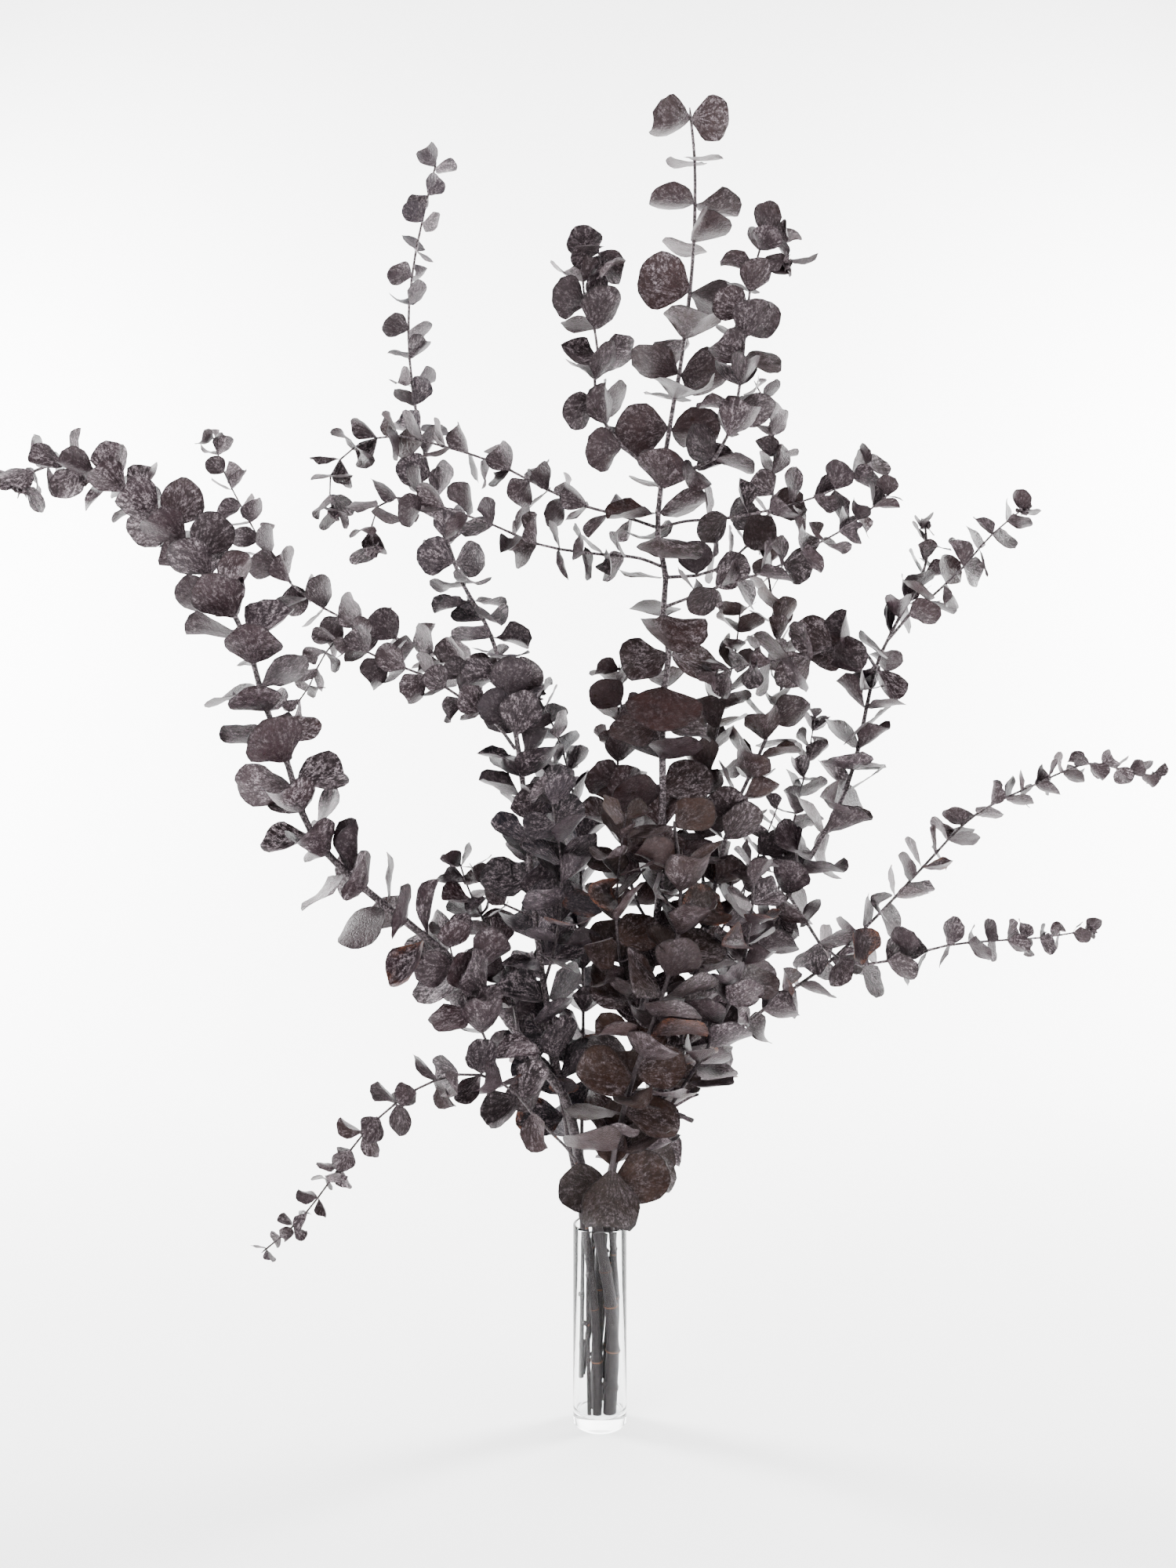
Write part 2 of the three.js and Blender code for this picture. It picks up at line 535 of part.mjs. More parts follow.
// The corner points of one leaf, a thin lens that grows out of one side of a stem band
function leafPoints(shoot, band, side, pose) {
  const lower = shoot.rings[band.lower];
  const upper = shoot.rings[band.lower + 1];
  const next = (side + 1) % 4;
  const base = [lower.corners[side], lower.corners[next], upper.corners[next], upper.corners[side]];
  const centre = new THREE.Vector3();
  for (const corner of base) {
    centre.addScaledVector(corner, 0.25);
  }
  const tangent = lower.tangent;
  const wide = base[1].clone().sub(base[0]).normalize();
  const out = new THREE.Vector3().crossVectors(wide, tangent).normalize();
  const swung = out.clone().multiplyScalar(Math.cos(pose.swing * deg));
  swung.addScaledVector(wide, Math.sin(pose.swing * deg));
  const acrossLeaf = wide.clone().multiplyScalar(Math.cos(pose.swing * deg));
  acrossLeaf.addScaledVector(out, -Math.sin(pose.swing * deg));
  const axis = swung.multiplyScalar(Math.cos(pose.lift * deg));
  axis.addScaledVector(tangent, Math.sin(pose.lift * deg)).normalize();
  const faceUp = new THREE.Vector3().crossVectors(axis, acrossLeaf).normalize();
  const rolled = acrossLeaf.clone().multiplyScalar(Math.cos(pose.roll * deg));
  rolled.addScaledVector(faceUp, Math.sin(pose.roll * deg));
  const normal = new THREE.Vector3().crossVectors(axis, rolled).normalize();
  const length = band.leafLength * pose.size;
  const halfWidth = length * leafRoundness * (pose.wide ?? 1) / 2;
  const large = length > largeLeaf;
  const outline = large
    ? [[0.4, 1], [0.94, 0.48], [0.94, -0.48], [0.4, -1]]
    : [[0.46, 1], [1, 0], [0.46, -1]];
  const rim = outline.map(([along, across]) => centre.clone()
    .addScaledVector(axis, along * length)
    .addScaledVector(rolled, across * halfWidth));
  const belly = centre.clone().addScaledVector(axis, leafBellyAt * length);
  const over = belly.clone().addScaledVector(normal, leafThickness / 2);
  const under = belly.clone().addScaledVector(normal, -leafThickness / 2);
  return { base, rim, over, under };
}

// Gives each pair its two leaves, in a pose that keeps clear of every stem and every earlier leaf
function growLeaves(shoot, stemHulls, leafHulls) {
  for (const band of shoot.bands) {
    band.leaves = new Map();
    for (const half of [0, 2]) {
      const side = band.firstSide + half;
      const facesAcross = band.firstSide === 1;
      for (let attempt = 0; attempt < leafTries; attempt += 1) {
        const openRoll = (shoot.rings[band.lower].centre.z > view.height ? 1 : -1) * (half === 0 ? 1 : -1);
        const drawn = drawPose(shoot, facesAcross, openRoll, attempt);
        const pose = attempt === 0 && band.poses ? band.poses[half / 2] : drawn;
        const leaf = leafPoints(shoot, band, side, pose);
        const blade = [...leaf.base, ...leaf.rim, leaf.over, leaf.under];
        const hull = hullOf(blade, shoot.name, band.lower);
        const aboveFloor = Math.min(...blade.map((point) => point.z)) > 4;
        const ownStem = (stem) => stem.owner === shoot.name && Math.abs(stem.ring - band.lower) < 2;
        const clearStems = stemHulls.every((stem) => ownStem(stem) || apart(hull, stem, stemGap));
        const mate = (other) => other.owner === shoot.name && other.ring === band.lower;
        const gapTo = (other) => (mate(other) ? leafGap / 3 : leafGap);
        if (aboveFloor && clearStems && leafHulls.every((other) => apart(hull, other, gapTo(other)))) {
          band.leaves.set(side, leaf);
          leafHulls.push(hull);
          break;
        }
      }
    }
  }
}

function meshOf(name, corners, colour) {
  const positions = new Float32Array(corners.flatMap((corner) => [corner.x, corner.y, corner.z]));
  const geometry = new THREE.BufferGeometry();
  geometry.setAttribute('position', new THREE.BufferAttribute(positions, 3));
  geometry.computeVertexNormals();
  const material = new THREE.MeshStandardMaterial({ color: colour, roughness: 0.7, metalness: 0 });
  const mesh = new THREE.Mesh(geometry, material);
  mesh.name = name;
  return mesh;
}

// The closed skin of one leaf, open only at its base, where it joins the stem's skin
function leafSkin({ base, rim, over, under }) {
  const corners = [base[0], base[1], under, base[1], base[2], rim[0], base[2], base[3], over];
  corners.push(base[1], rim[0], under, rim[0], base[2], over);
  for (let index = 1; index < rim.length; index += 1) {
    corners.push(rim[index - 1], rim[index], under);
    corners.push(rim[index], rim[index - 1], over);
  }
  const last = rim[rim.length - 1];
  corners.push(last, base[0], under, base[3], last, over, base[3], base[0], last);
  return corners;
}

function shootMesh(shoot) {
  const { rings } = shoot;
  const leavesAt = new Map(shoot.bands.map((band) => [band.lower, band.leaves]));
  const corners = [];
  const foot = rings[0].corners;
  corners.push(foot[0], foot[2], foot[1], foot[0], foot[3], foot[2]);
  for (let ring = 0; ring + 1 < rings.length; ring += 1) {
    for (let side = 0; side < 4; side += 1) {
      const leaf = leavesAt.get(ring)?.get(side);
      if (leaf) {
        corners.push(...leafSkin(leaf));
        continue;
      }
      const next = (side + 1) % 4;
      const [low, lowNext] = [rings[ring].corners[side], rings[ring].corners[next]];
      const [high, highNext] = [rings[ring + 1].corners[side], rings[ring + 1].corners[next]];
      corners.push(low, lowNext, highNext, low, highNext, high);
    }
  }
  const top = rings[rings.length - 1].corners;
  for (let side = 0; side < 4; side += 1) {
    corners.push(top[side], top[(side + 1) % 4], shoot.tip);
  }
  return meshOf(shoot.name, corners, shoot.colour);
}

// The glass: a cylinder with a thick floor, a rounded heel and a rounded rim
function vaseMesh() {
  const { radius, height, wall, floor, footRadius, innerCorner } = vaseSize;
  const inner = radius - wall;
  const profile = [
    [0, 0], [footRadius, 0], [radius - 0.5, 0.6], [radius, 1.8], [radius, height - 0.8],
    [radius - 0.5, height], [inner + 0.5, height], [inner, height - 0.8], [inner, floor + innerCorner],
    [inner - innerCorner * 0.3, floor + innerCorner * 0.3], [inner - innerCorner, floor], [0, floor],
  ].map(([x, y]) => new THREE.Vector2(x, y));
  const geometry = new THREE.LatheGeometry(profile, vaseSize.sides);
  geometry.rotateX(Math.PI / 2);
  const material = new THREE.MeshStandardMaterial({ color: 0xeef2f2, roughness: 0.05, metalness: 0 });
  const mesh = new THREE.Mesh(geometry, material);
  mesh.name = 'glass_vase';
  return mesh;
}

function bouquet() {
  const shoots = [];
  for (const stem of cutStems) {
    const points = stem.foot.map(([x, y, z]) => new THREE.Vector3(x, y, z));
    points.push(...stem.seen.map(placeSeen));
    shoots.push({ ...stem, route: smoothRoute(points) });
  }
  for (const shoot of shoots) {
    layStem(shoot);
  }
  for (const side of sideShoots) {
    const parent = shoots.find((shoot) => shoot.name === side.from);
    const start = graftPoint(parent, side.seen, side.radius[0]);
    const shoot = { ...side, route: smoothRoute([start, ...side.seen.slice(1).map(placeSeen)]) };
    layStem(shoot);
    shoots.push(shoot);
  }
  const stemHulls = shoots.flatMap((shoot) => shoot.rings.slice(1).map((ring, index) => {
    const corners = [...shoot.rings[index].corners, ...ring.corners];
    return hullOf(corners, shoot.name, index);
  }));
  const leafHulls = [];
  for (const shoot of shoots) {
    growLeaves(shoot, stemHulls, leafHulls);
  }
  const group = new THREE.Group();
  group.add(vaseMesh());
  for (const shoot of shoots) {
    group.add(shootMesh(shoot));
  }
  return group;
}

export default bouquet();
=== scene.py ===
"""Preserved eucalyptus branches standing loose in a slim clear glass cylinder vase."""

import json
import math
import random
from collections import namedtuple

import bmesh
import bpy
import numpy as np
from mathutils import Matrix, Vector, kdtree, noise

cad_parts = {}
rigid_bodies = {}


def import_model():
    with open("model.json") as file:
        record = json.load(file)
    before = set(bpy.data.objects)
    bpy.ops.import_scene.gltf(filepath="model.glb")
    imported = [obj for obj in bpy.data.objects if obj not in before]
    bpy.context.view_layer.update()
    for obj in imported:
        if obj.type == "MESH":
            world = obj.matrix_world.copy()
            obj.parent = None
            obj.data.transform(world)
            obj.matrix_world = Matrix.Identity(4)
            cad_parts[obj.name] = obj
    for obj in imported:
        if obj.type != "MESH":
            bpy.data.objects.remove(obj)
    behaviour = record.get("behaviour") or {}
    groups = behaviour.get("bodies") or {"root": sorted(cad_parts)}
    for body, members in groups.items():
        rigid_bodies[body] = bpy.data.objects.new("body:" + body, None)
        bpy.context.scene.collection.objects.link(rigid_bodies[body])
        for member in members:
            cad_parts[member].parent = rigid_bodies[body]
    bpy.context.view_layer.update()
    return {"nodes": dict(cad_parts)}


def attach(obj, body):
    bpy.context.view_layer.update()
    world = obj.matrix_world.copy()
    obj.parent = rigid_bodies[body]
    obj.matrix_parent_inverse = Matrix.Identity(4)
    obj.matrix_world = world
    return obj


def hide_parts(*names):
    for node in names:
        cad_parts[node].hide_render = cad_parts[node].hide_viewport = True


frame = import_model()

MM = 0.001

# The reference view: a level camera in front of the vase, in millimetres
VIEW_DISTANCE = 926
VIEW_HEIGHT = 475
VIEW_SIDE = -8.8
VIEW_END = 50000
FRAME_HEIGHT_AT_VASE = 1168
SENSOR = 36

# The belly of each CAD leaf: its two middle points are this far apart, at this share of its length
CAD_LEAF_THICKNESS = 1.0
CAD_THICKNESS_SLACK = 0.03
CAD_BELLY_AT = 0.45

# How the CAD's stems and leaves are meshed, and how close two corners count as one, in millimetres
CAD_STEM_SIDES = 4
CAD_LEAF_FOOT_CORNERS = 4
CAD_LEAST_RIM_CORNERS = 3
CAD_WELD = 0.004

# Gaps that agree to this many digits of a millimetre are equal
TIE_DIGITS = 3

# A leaf's width is measured square to its axis, and a leaf counts as sideways below this tilt
SQUARE_ENOUGH = 0.1
SIDEWAYS_TILT = 0.2

# Leaf blades, in shares of a leaf's length
BLADE_GRID = 6
BLADE_THICKNESS = 0.011
BLADE_NUDGE = 0.02
RIM_THINNING = 0.4
BASE_WIDTH = 0.55
TAPER_REACH = 0.42
TAPER_STEEPNESS = 1.6
CUP_ALONG = 0.35
CREASE_SOFTNESS = 0.03
DENT_DEPTH = 0.035
DENTS_IN_LENGTH = 5
FLAT_BASE = 0.15
SECOND_LOBES = 0.6

# How many leaf shapes there are, and the seed that they are drawn with
BLADE_SHAPES = 18
CURLED_SHAPES = 5
BLADE_SEED = 5

# Every sixth leaf shape is folded, every sixth is cupped, and so on. Calm ones stay nearly flat
SHAPE_KINDS = 6
FOLDED_KIND = 1
CUPPED_KIND = 2
FLAPPED_KIND = 3
CALM_KINDS = (0, 4, 5)

# A round blade is a little longer than the faceted CAD leaf that it stands for
BLADE_LENGTHENING = 1.02

# Stems, in millimetres where they are lengths
STEM_STEP = 2.2
STEM_SIDES = 12
STEM_FULLNESS = 0.97
TIP_FULLNESS = 0.5
NODE_SWELLING = 0.22
NODE_REACH = 1.6
IN_VASE_SWELLING = 1.1
ABOVE_VASE_SWELLING = 0.7
ROOTED = 3.2

# How uneven a stem's thickness is, as shares of it, and how many waves of that lie in a metre
SLOW_UNEVENNESS = 0.07
SLOW_WAVES = 60
FINE_UNEVENNESS = 0.05
FINE_WAVES = 220

# The tan ring at a leaf pair is fainter than the scar that dropped leaves left
LEAF_PAIR_RING = 0.35
SCAR_RING = 1.0
SCAR_SPACING = 31
SCAR_END_GAP = 8

# Cut-off side twigs on the stems in the vase
STUBS_BELOW = 136
STUB_SHARE = 0.5
STUB_REACH = 2.6
STUB_RISE = 0.5
STUB_RADIUS = 1.5
STUB_FLARE = 1.25
STUB_TRIES = 12

# Leaves with a rusty rim grow low in the bunch
RUST_BELOW = 420
RUST_SHARE = 0.06

# Patterns on leaves, bark and glass, in millimetres
NET_VEIN_SPACING = 3.03
VEIN_WANDER = 7.14
STREAK_STEP = 9.09
SPECKLE_SIZE = 1.5625
LEAF_CLOUD = 14.3
BARK_GRAIN = 0.769
BARK_FLAKE = 1.613
BARK_CLOUD = 22.2
GLASS_WAVE = 22.2

# Turns of the leaf patterns about the leaf's base
VEINS_IN_HALF_TURN = 8.0
STREAKS_IN_RADIAN = 6.0

# The bark's bloom begins and is full at these heights, and the painted shade on the bark in the vase fades
# out between the other two
BARK_BLOOM_HEIGHTS = (150, 340)
VASE_SHADE_HEIGHTS = (130, 200)

# Vase, as the CAD has it. Its underside is pushed up a little, and its floor rises in the middle
VASE_RADIUS = 20
VASE_HEIGHT = 148
VASE_WALL = 2.2
VASE_FLOOR = 9.5
VASE_SIDES = 96
VASE_HEEL = 2.6
VASE_INNER_CORNER = 4.5
VASE_UNDERSIDE = ((0, 0.5), (9, 0.35), (14, 0.05), (16.5, 0))
VASE_FLOOR_RISE = ((8, 0.1), (0, 0.3))

# Paper floor, in metres
FLOOR_FRONT = -4.0
FLOOR_BACK = 2.2
FLOOR_HALF_WIDTH = 5.0
FLOOR_TOP = 4.5
FLOOR_BEND = 1.2
FLOOR_BEND_STEPS = 12


def linear(code):
    """An sRGB hex colour as linear red, green and blue, with an alpha of one."""
    channels = [int(code[i:i + 2], 16) / 255 for i in (1, 3, 5)]
    return [*(c / 12.92 if c <= 0.04045 else ((c + 0.055) / 1.055) ** 2.4 for c in channels), 1.0]


AUBERGINE = linear("#24161a")
RED_BROWN = linear("#291918")
WARM_BROWN = linear("#2d201c")
GREY_BROWN = linear("#261b1d")
SLATE = linear("#272226")
RUST = linear("#5c3829")
BLOOM = linear("#94888d")
UNDERSIDE = linear("#40363a")
SHADE = linear("#130e10")
BARK = linear("#2a2325")
BARK_BLOOM = linear("#94888d")
# Painted shade: the bark colour for the stems that stand in the glass
BARK_PAINTED_SHADE_IN_VASE = linear("#130f10")
SCAR = linear("#85553a")
CLEAR_GLASS = linear("#fdfefe")
GLASS_SHADOW = linear("#f9fafa")
GLASS_GLINT = linear("#505050")
PAPER = linear("#f6f6f6")
SURROUND = linear("#ffffff")

# Lamps, with places and sizes in metres and power in watts
Lamp = namedtuple("Lamp", "name place target size power")
BUNCH_MIDDLE = (0, 0, 0.5)
LAMPS = (
    Lamp("key_light", (-1.5, -1.9, 2.0), BUNCH_MIDDLE, 2.0, 108),
    Lamp("fill_light", (1.9, -1.7, 1.3), BUNCH_MIDDLE, 2.2, 52),
    Lamp("top_light", (0.1, 0.2, 2.7), BUNCH_MIDDLE, 1.2, 40),
    Lamp("left_paper_light", (-1.9, 0.9, 1.3), (0.3, 2.2, 0.9), 1.2, 290),
    Lamp("right_paper_light", (1.9, 0.9, 1.3), (-0.3, 2.2, 0.9), 1.2, 290),
)
SURROUND_STRENGTH = 0.55

Look = namedtuple("Look", "colour bloom bark_bloom")

# Each shoot's leaf colour, and how much pale bloom its leaves and its bark carry
SHOOT_LOOKS = {
    "left_arch_stem": Look(AUBERGINE, 0.9, 1.0),
    "left_arch_shoot_low": Look(AUBERGINE, 0.5, 0.6),
    "upright_left_stem": Look(SLATE, 0.8, 1.0),
    "upright_left_shoot_low": Look(AUBERGINE, 0.35, 0.5),
    "upright_left_shoot_front": Look(SLATE, 0.5, 0.4),
    "slender_stem": Look(SLATE, 0.5, 0.6),
    "slender_shoot_left": Look(SLATE, 0.5, 0.5),
    "low_left_stem": Look(GREY_BROWN, 0.6, 0.8),
    "low_left_shoot": Look(AUBERGINE, 0.5, 0.6),
    "centre_stem": Look(RED_BROWN, 0.5, 0.9),
    "centre_shoot_mid_left": Look(RED_BROWN, 0.4, 0.4),
    "centre_shoot_front_left": Look(WARM_BROWN, 0.4, 0.3),
    "front_stem": Look(WARM_BROWN, 0.3, 0.2),
    "front_right_stem": Look(GREY_BROWN, 0.5, 0.3),
    "right_stem": Look(AUBERGINE, 0.5, 0.7),
    "centre_right_stem": Look(WARM_BROWN, 0.4, 0.5),
    "centre_right_shoot_inner": Look(WARM_BROWN, 0.35, 0.5),
    "centre_right_shoot_low": Look(AUBERGINE, 0.4, 0.4),
}
USUAL_LOOK = Look(GREY_BROWN, 0.55, 0.9)

# Shoots whose youngest leaves are dried into a crumpled knot, with the number of small leaves
CURLED_TIPS = {
    "left_arch_stem": 14,
    "centre_shoot_high_left": 10,
    "centre_shoot_low_left": 16,
    "centre_shoot_up_left": 14,
    "centre_shoot_up_right": 12,
    "right_stem": 12,
    "right_shoot_upper": 12,
    "right_arch_stem": 14,
    "right_shoot_low": 10,
    "centre_right_stem": 10,
    "slender_stem": 16,
    "front_right_stem": 8,
}

# The leaves of a knot, in millimetres where they are lengths
KNOT_LEAF_SIZES = (5.5, 10)
KNOT_LEAF_WIDTH = 0.8
KNOT_DEPTH = 5
KNOT_SCATTER = 1.2
KNOT_BLOOM = 1.5

# Rusty dried buds sit on one stem at these heights in millimetres
BUD_STEM = "left_arch_stem"
BUD_HEIGHTS = (163, 172, 187)
BUD_SCALES = 7
BUD_SCALE_SIZES = (3.0, 4.6)
BUD_SCALE_WIDTH = 0.7
BUD_SCATTER = 1.2
BUD_BLOOM = 0.1

Leaf = namedtuple("Leaf", "base axis normal length width")
Shoot = namedtuple("Shoot", "name centres radii leaves pairs tip")
Anchor = namedtuple("Anchor", "place turn size shape colour bloom")
BladeForm = namedtuple("BladeForm", [
    "narrow", "cup", "fold", "flap", "flap_at", "curl", "curl_from", "twist", "ripple", "waves", "phase",
    "lobe", "shift",
])


def per_metre(millimetres):
    """How often a pattern of this size repeats in a metre."""
    return 1 / (millimetres * MM)


def add_camera():
    """A level camera as far from the vase as the photograph's."""
    data = bpy.data.cameras.new("reference_camera")
    data.sensor_width = SENSOR
    data.lens = SENSOR * VIEW_DISTANCE / FRAME_HEIGHT_AT_VASE
    data.clip_end = VIEW_END * MM
    camera = bpy.data.objects.new("reference_camera", data)
    camera.location = (VIEW_SIDE * MM, -VIEW_DISTANCE * MM, VIEW_HEIGHT * MM)
    camera.rotation_euler = (math.pi / 2, 0, 0)
    bpy.context.scene.collection.objects.link(camera)
    bpy.context.scene.camera = camera


def add(tree, kind, inputs=None, **settings):
    """Adds a node. inputs maps a socket to a value, an output, or a node whose first output is meant."""
    node = tree.nodes.new(kind)
    for name, value in settings.items():
        setattr(node, name, value)
    for key, value in (inputs or {}).items():
        if isinstance(value, bpy.types.Node):
            value = value.outputs[0]
        if isinstance(value, bpy.types.NodeSocket):
            tree.links.new(value, node.inputs[key])
        else:
            node.inputs[key].default_value = value
    return node


def link_object(name, mesh):
    piece = bpy.data.objects.new(name, mesh)
    bpy.context.scene.collection.objects.link(piece)
    return piece


def neighbours(corner):
    return {edge.other_vert(corner) for edge in corner.link_edges}


def in_order(corners):
    """Corners sorted by number, because a set's own order changes from run to run, and sums with it."""
    return sorted(corners, key=lambda corner: corner.index)


def nearest_to(places, target):
    """The number of the place nearest to target. Of places equally near, it is the first in each run."""
    return min(range(len(places)), key=lambda i: round((places[i] - target).length / MM, TIE_DIGITS))


def read_leaves(shell):
    """The CAD leaves of a shoot, found by the two middle points that face each other."""
    tree = kdtree.KDTree(len(shell.verts))
    for corner in shell.verts:
        tree.insert(corner.co, corner.index)
    tree.balance()
    furthest = (1 + CAD_THICKNESS_SLACK) * CAD_LEAF_THICKNESS * MM
    nearest = (1 - CAD_THICKNESS_SLACK) * CAD_LEAF_THICKNESS * MM
    leaves = []
    leaf_corners = set()
    for over in shell.verts:
        if over in leaf_corners:
            continue
        for _, index, gap in tree.find_range(over.co, furthest):
            under = shell.verts[index]
            if gap < nearest or under in neighbours(over):
                continue
            rim = neighbours(over) & neighbours(under)
            if len(rim) < CAD_LEAST_RIM_CORNERS:
                continue
            base_corners = in_order((neighbours(over) | neighbours(under)) - rim)
            if len(base_corners) != CAD_LEAF_FOOT_CORNERS:
                continue
            leaf_corners |= rim | {over, under}
            base = sum((c.co for c in base_corners), Vector()) / len(base_corners)
            belly = (over.co + under.co) / 2
            axis = (belly - base).normalized()
            length = (belly - base).length / CAD_BELLY_AT
            spans = [a.co - b.co for a in rim for b in rim]
            width = max(span.length for span in spans if abs(span.dot(axis)) < SQUARE_ENOUGH * length)
            leaves.append([Leaf(base, axis, (over.co - under.co).normalized(), length, width), base_corners])
            break
    return leaves, leaf_corners


def read_stem(shell, leaf_corners):
    """The tip of a shoot's stem and its rings of corners, from the tip down."""
    def on_stem(corner):
        return neighbours(corner) - leaf_corners

    def spread(corner):
        reaches = [(c.co - corner.co).length for c in on_stem(corner)]
        return max(reaches) / min(reaches)

    pointed = [c for c in shell.verts if c not in leaf_corners and len(on_stem(c)) == CAD_STEM_SIDES]
    top = min(pointed, key=spread)
    rings = []
    seen = {top}
    ring = on_stem(top)
    while ring:
        rings.append(in_order(ring))
        seen |= ring
        ring = set().union(*(on_stem(c) for c in ring)) - seen
    return top, rings


def facing_tip(leaf, middles):
    """The leaf with its upper face turned to the shoot's tip, unless it faces sideways."""
    nearest = min(range(len(middles)), key=lambda i: (middles[i] - leaf.base).length)
    towards_tip = middles[max(nearest - 1, 0)] - middles[min(nearest + 1, len(middles) - 1)]
    if leaf.normal.dot(towards_tip.normalized()) < -SIDEWAYS_TILT:
        return leaf._replace(normal=-leaf.normal)
    return leaf


def read_shoot(name):
    """A CAD shoot as the middles and radii of its stem rings, from the tip down, and its leaves."""
    shell = bmesh.new()
    shell.from_mesh(frame["nodes"][name].data)
    bmesh.ops.remove_doubles(shell, verts=shell.verts, dist=CAD_WELD * MM)
    shell.verts.ensure_lookup_table()
    shell.verts.index_update()
    found, leaf_corners = read_leaves(shell)
    top, rings = read_stem(shell, leaf_corners)
    middles = [sum((c.co for c in ring), Vector()) / len(ring) for ring in rings]
    radii = [sum((c.co - middle).length for c in ring) / len(ring) for ring, middle in zip(rings, middles)]
    place = {c: i for i, ring in enumerate(rings) for c in ring}
    pairs = sorted({min(place[c] for c in corners) for _, corners in found})
    leaves = [facing_tip(leaf, middles) for leaf, _ in found]
    tip = top.co.copy()
    shell.free()
    return Shoot(name, middles, radii, leaves, pairs, tip)


def draw_form(draw, number):
    """How one leaf shape is outlined and bent. Lengths are shares of the leaf's length."""
    curled = number >= BLADE_SHAPES
    kind = number % SHAPE_KINDS
    calm = kind in CALM_KINDS and not curled
    curl = draw.uniform(-0.9, 0.8) if calm else draw.uniform(-2.2, 1.3)
    if curled:
        curl = draw.uniform(4, 8) * draw.choice([-1, 1])
    return BladeForm(
        narrow=draw.uniform(0.6, 1.0) if calm else draw.uniform(0.4, 0.9),
        cup=draw.uniform(0.7, 1.1) if kind == CUPPED_KIND else draw.uniform(-0.25, 0.5),
        fold=draw.uniform(0.35, 0.75) if kind == FOLDED_KIND or curled else draw.uniform(-0.08, 0.18),
        flap=draw.uniform(1.2, 2.3) if kind == FLAPPED_KIND else 0.0,
        flap_at=draw.uniform(0.08, 0.22),
        curl=curl,
        curl_from=draw.uniform(0.1, 0.3) if curled else draw.uniform(0.35, 0.6),
        twist=draw.uniform(-0.25, 0.25) * (5 if curled else 1 if calm else 2),
        ripple=0.09 if curled else draw.uniform(0.012, 0.045),
        waves=draw.choice([3, 4, 5]),
        phase=draw.uniform(0, 2 * math.pi),
        lobe=draw.uniform(0.012, 0.045),
        shift=Vector([draw.uniform(-50, 50) for _ in range(3)]),
    )


def bend_blade(form, across, along, reach, angle):
    """Where a point of the flat blade goes when the blade folds, curls and twists."""
    x = across
    z = form.cup * (across * across + CUP_ALONG * (along - 0.5) ** 2 - CUP_ALONG / 4)
    z += form.ripple * reach ** 3 * math.sin(form.waves * angle + 2 * form.phase)
    dent = Vector((across * DENTS_IN_LENGTH, along * DENTS_IN_LENGTH, 0)) + form.shift
    z += DENT_DEPTH * noise.noise(dent)
    z += math.sin(form.fold) * (math.sqrt(x * x + CREASE_SOFTNESS ** 2) - CREASE_SOFTNESS)
    x *= math.cos(form.fold)
    past = x - form.flap_at
    if form.flap and past > 0:
        x = form.flap_at + past * math.cos(form.flap)
        z += past * math.sin(form.flap)
    z *= min(1.0, along / FLAT_BASE)
    y = along
    if along > form.curl_from:
        turn = form.curl * (along - form.curl_from)
        y = form.curl_from + math.sin(turn) / form.curl - z * math.sin(turn)
        z = (1 - math.cos(turn)) / form.curl + z * math.cos(turn)
    turn = form.twist * along
    return Vector((x * math.cos(turn) - z * math.sin(turn), y, x * math.sin(turn) + z * math.cos(turn)))


def blade_point(form, a, b):
    """A point of a square grid from -1 to 1, moved onto the leaf's outline disc and bent."""
    p = a * math.sqrt(1 - b * b / 2)
    q = b * math.sqrt(1 - a * a / 2)
    reach = min(math.hypot(p, q), 1)
    angle = math.atan2(p, -q)
    wobble = 1 + form.lobe * reach * math.sin(form.waves * angle + form.phase)
    wobble += SECOND_LOBES * form.lobe * reach * math.sin((2 * form.waves + 1) * angle - form.phase)
    along = max(0.5 + 0.5 * q * wobble, 0.0)
    taper = max(0.0, 1 - along / TAPER_REACH) ** TAPER_STEEPNESS
    narrowing = 1 - (1 - BASE_WIDTH * form.narrow) * taper
    across = 0.5 * p * wobble * narrowing
    return across, along, reach, bend_blade(form, across, along, reach, angle)


def blade_normal(form, a, b):
    """The way that the blade's upper face looks at a point of its grid."""
    a *= 1 - BLADE_NUDGE
    b *= 1 - BLADE_NUDGE
    right = blade_point(form, a + BLADE_NUDGE, b)[3]
    left = blade_point(form, a - BLADE_NUDGE, b)[3]
    further = blade_point(form, a, b + BLADE_NUDGE)[3]
    nearer = blade_point(form, a, b - BLADE_NUDGE)[3]
    return (right - left).cross(further - nearer).normalized()


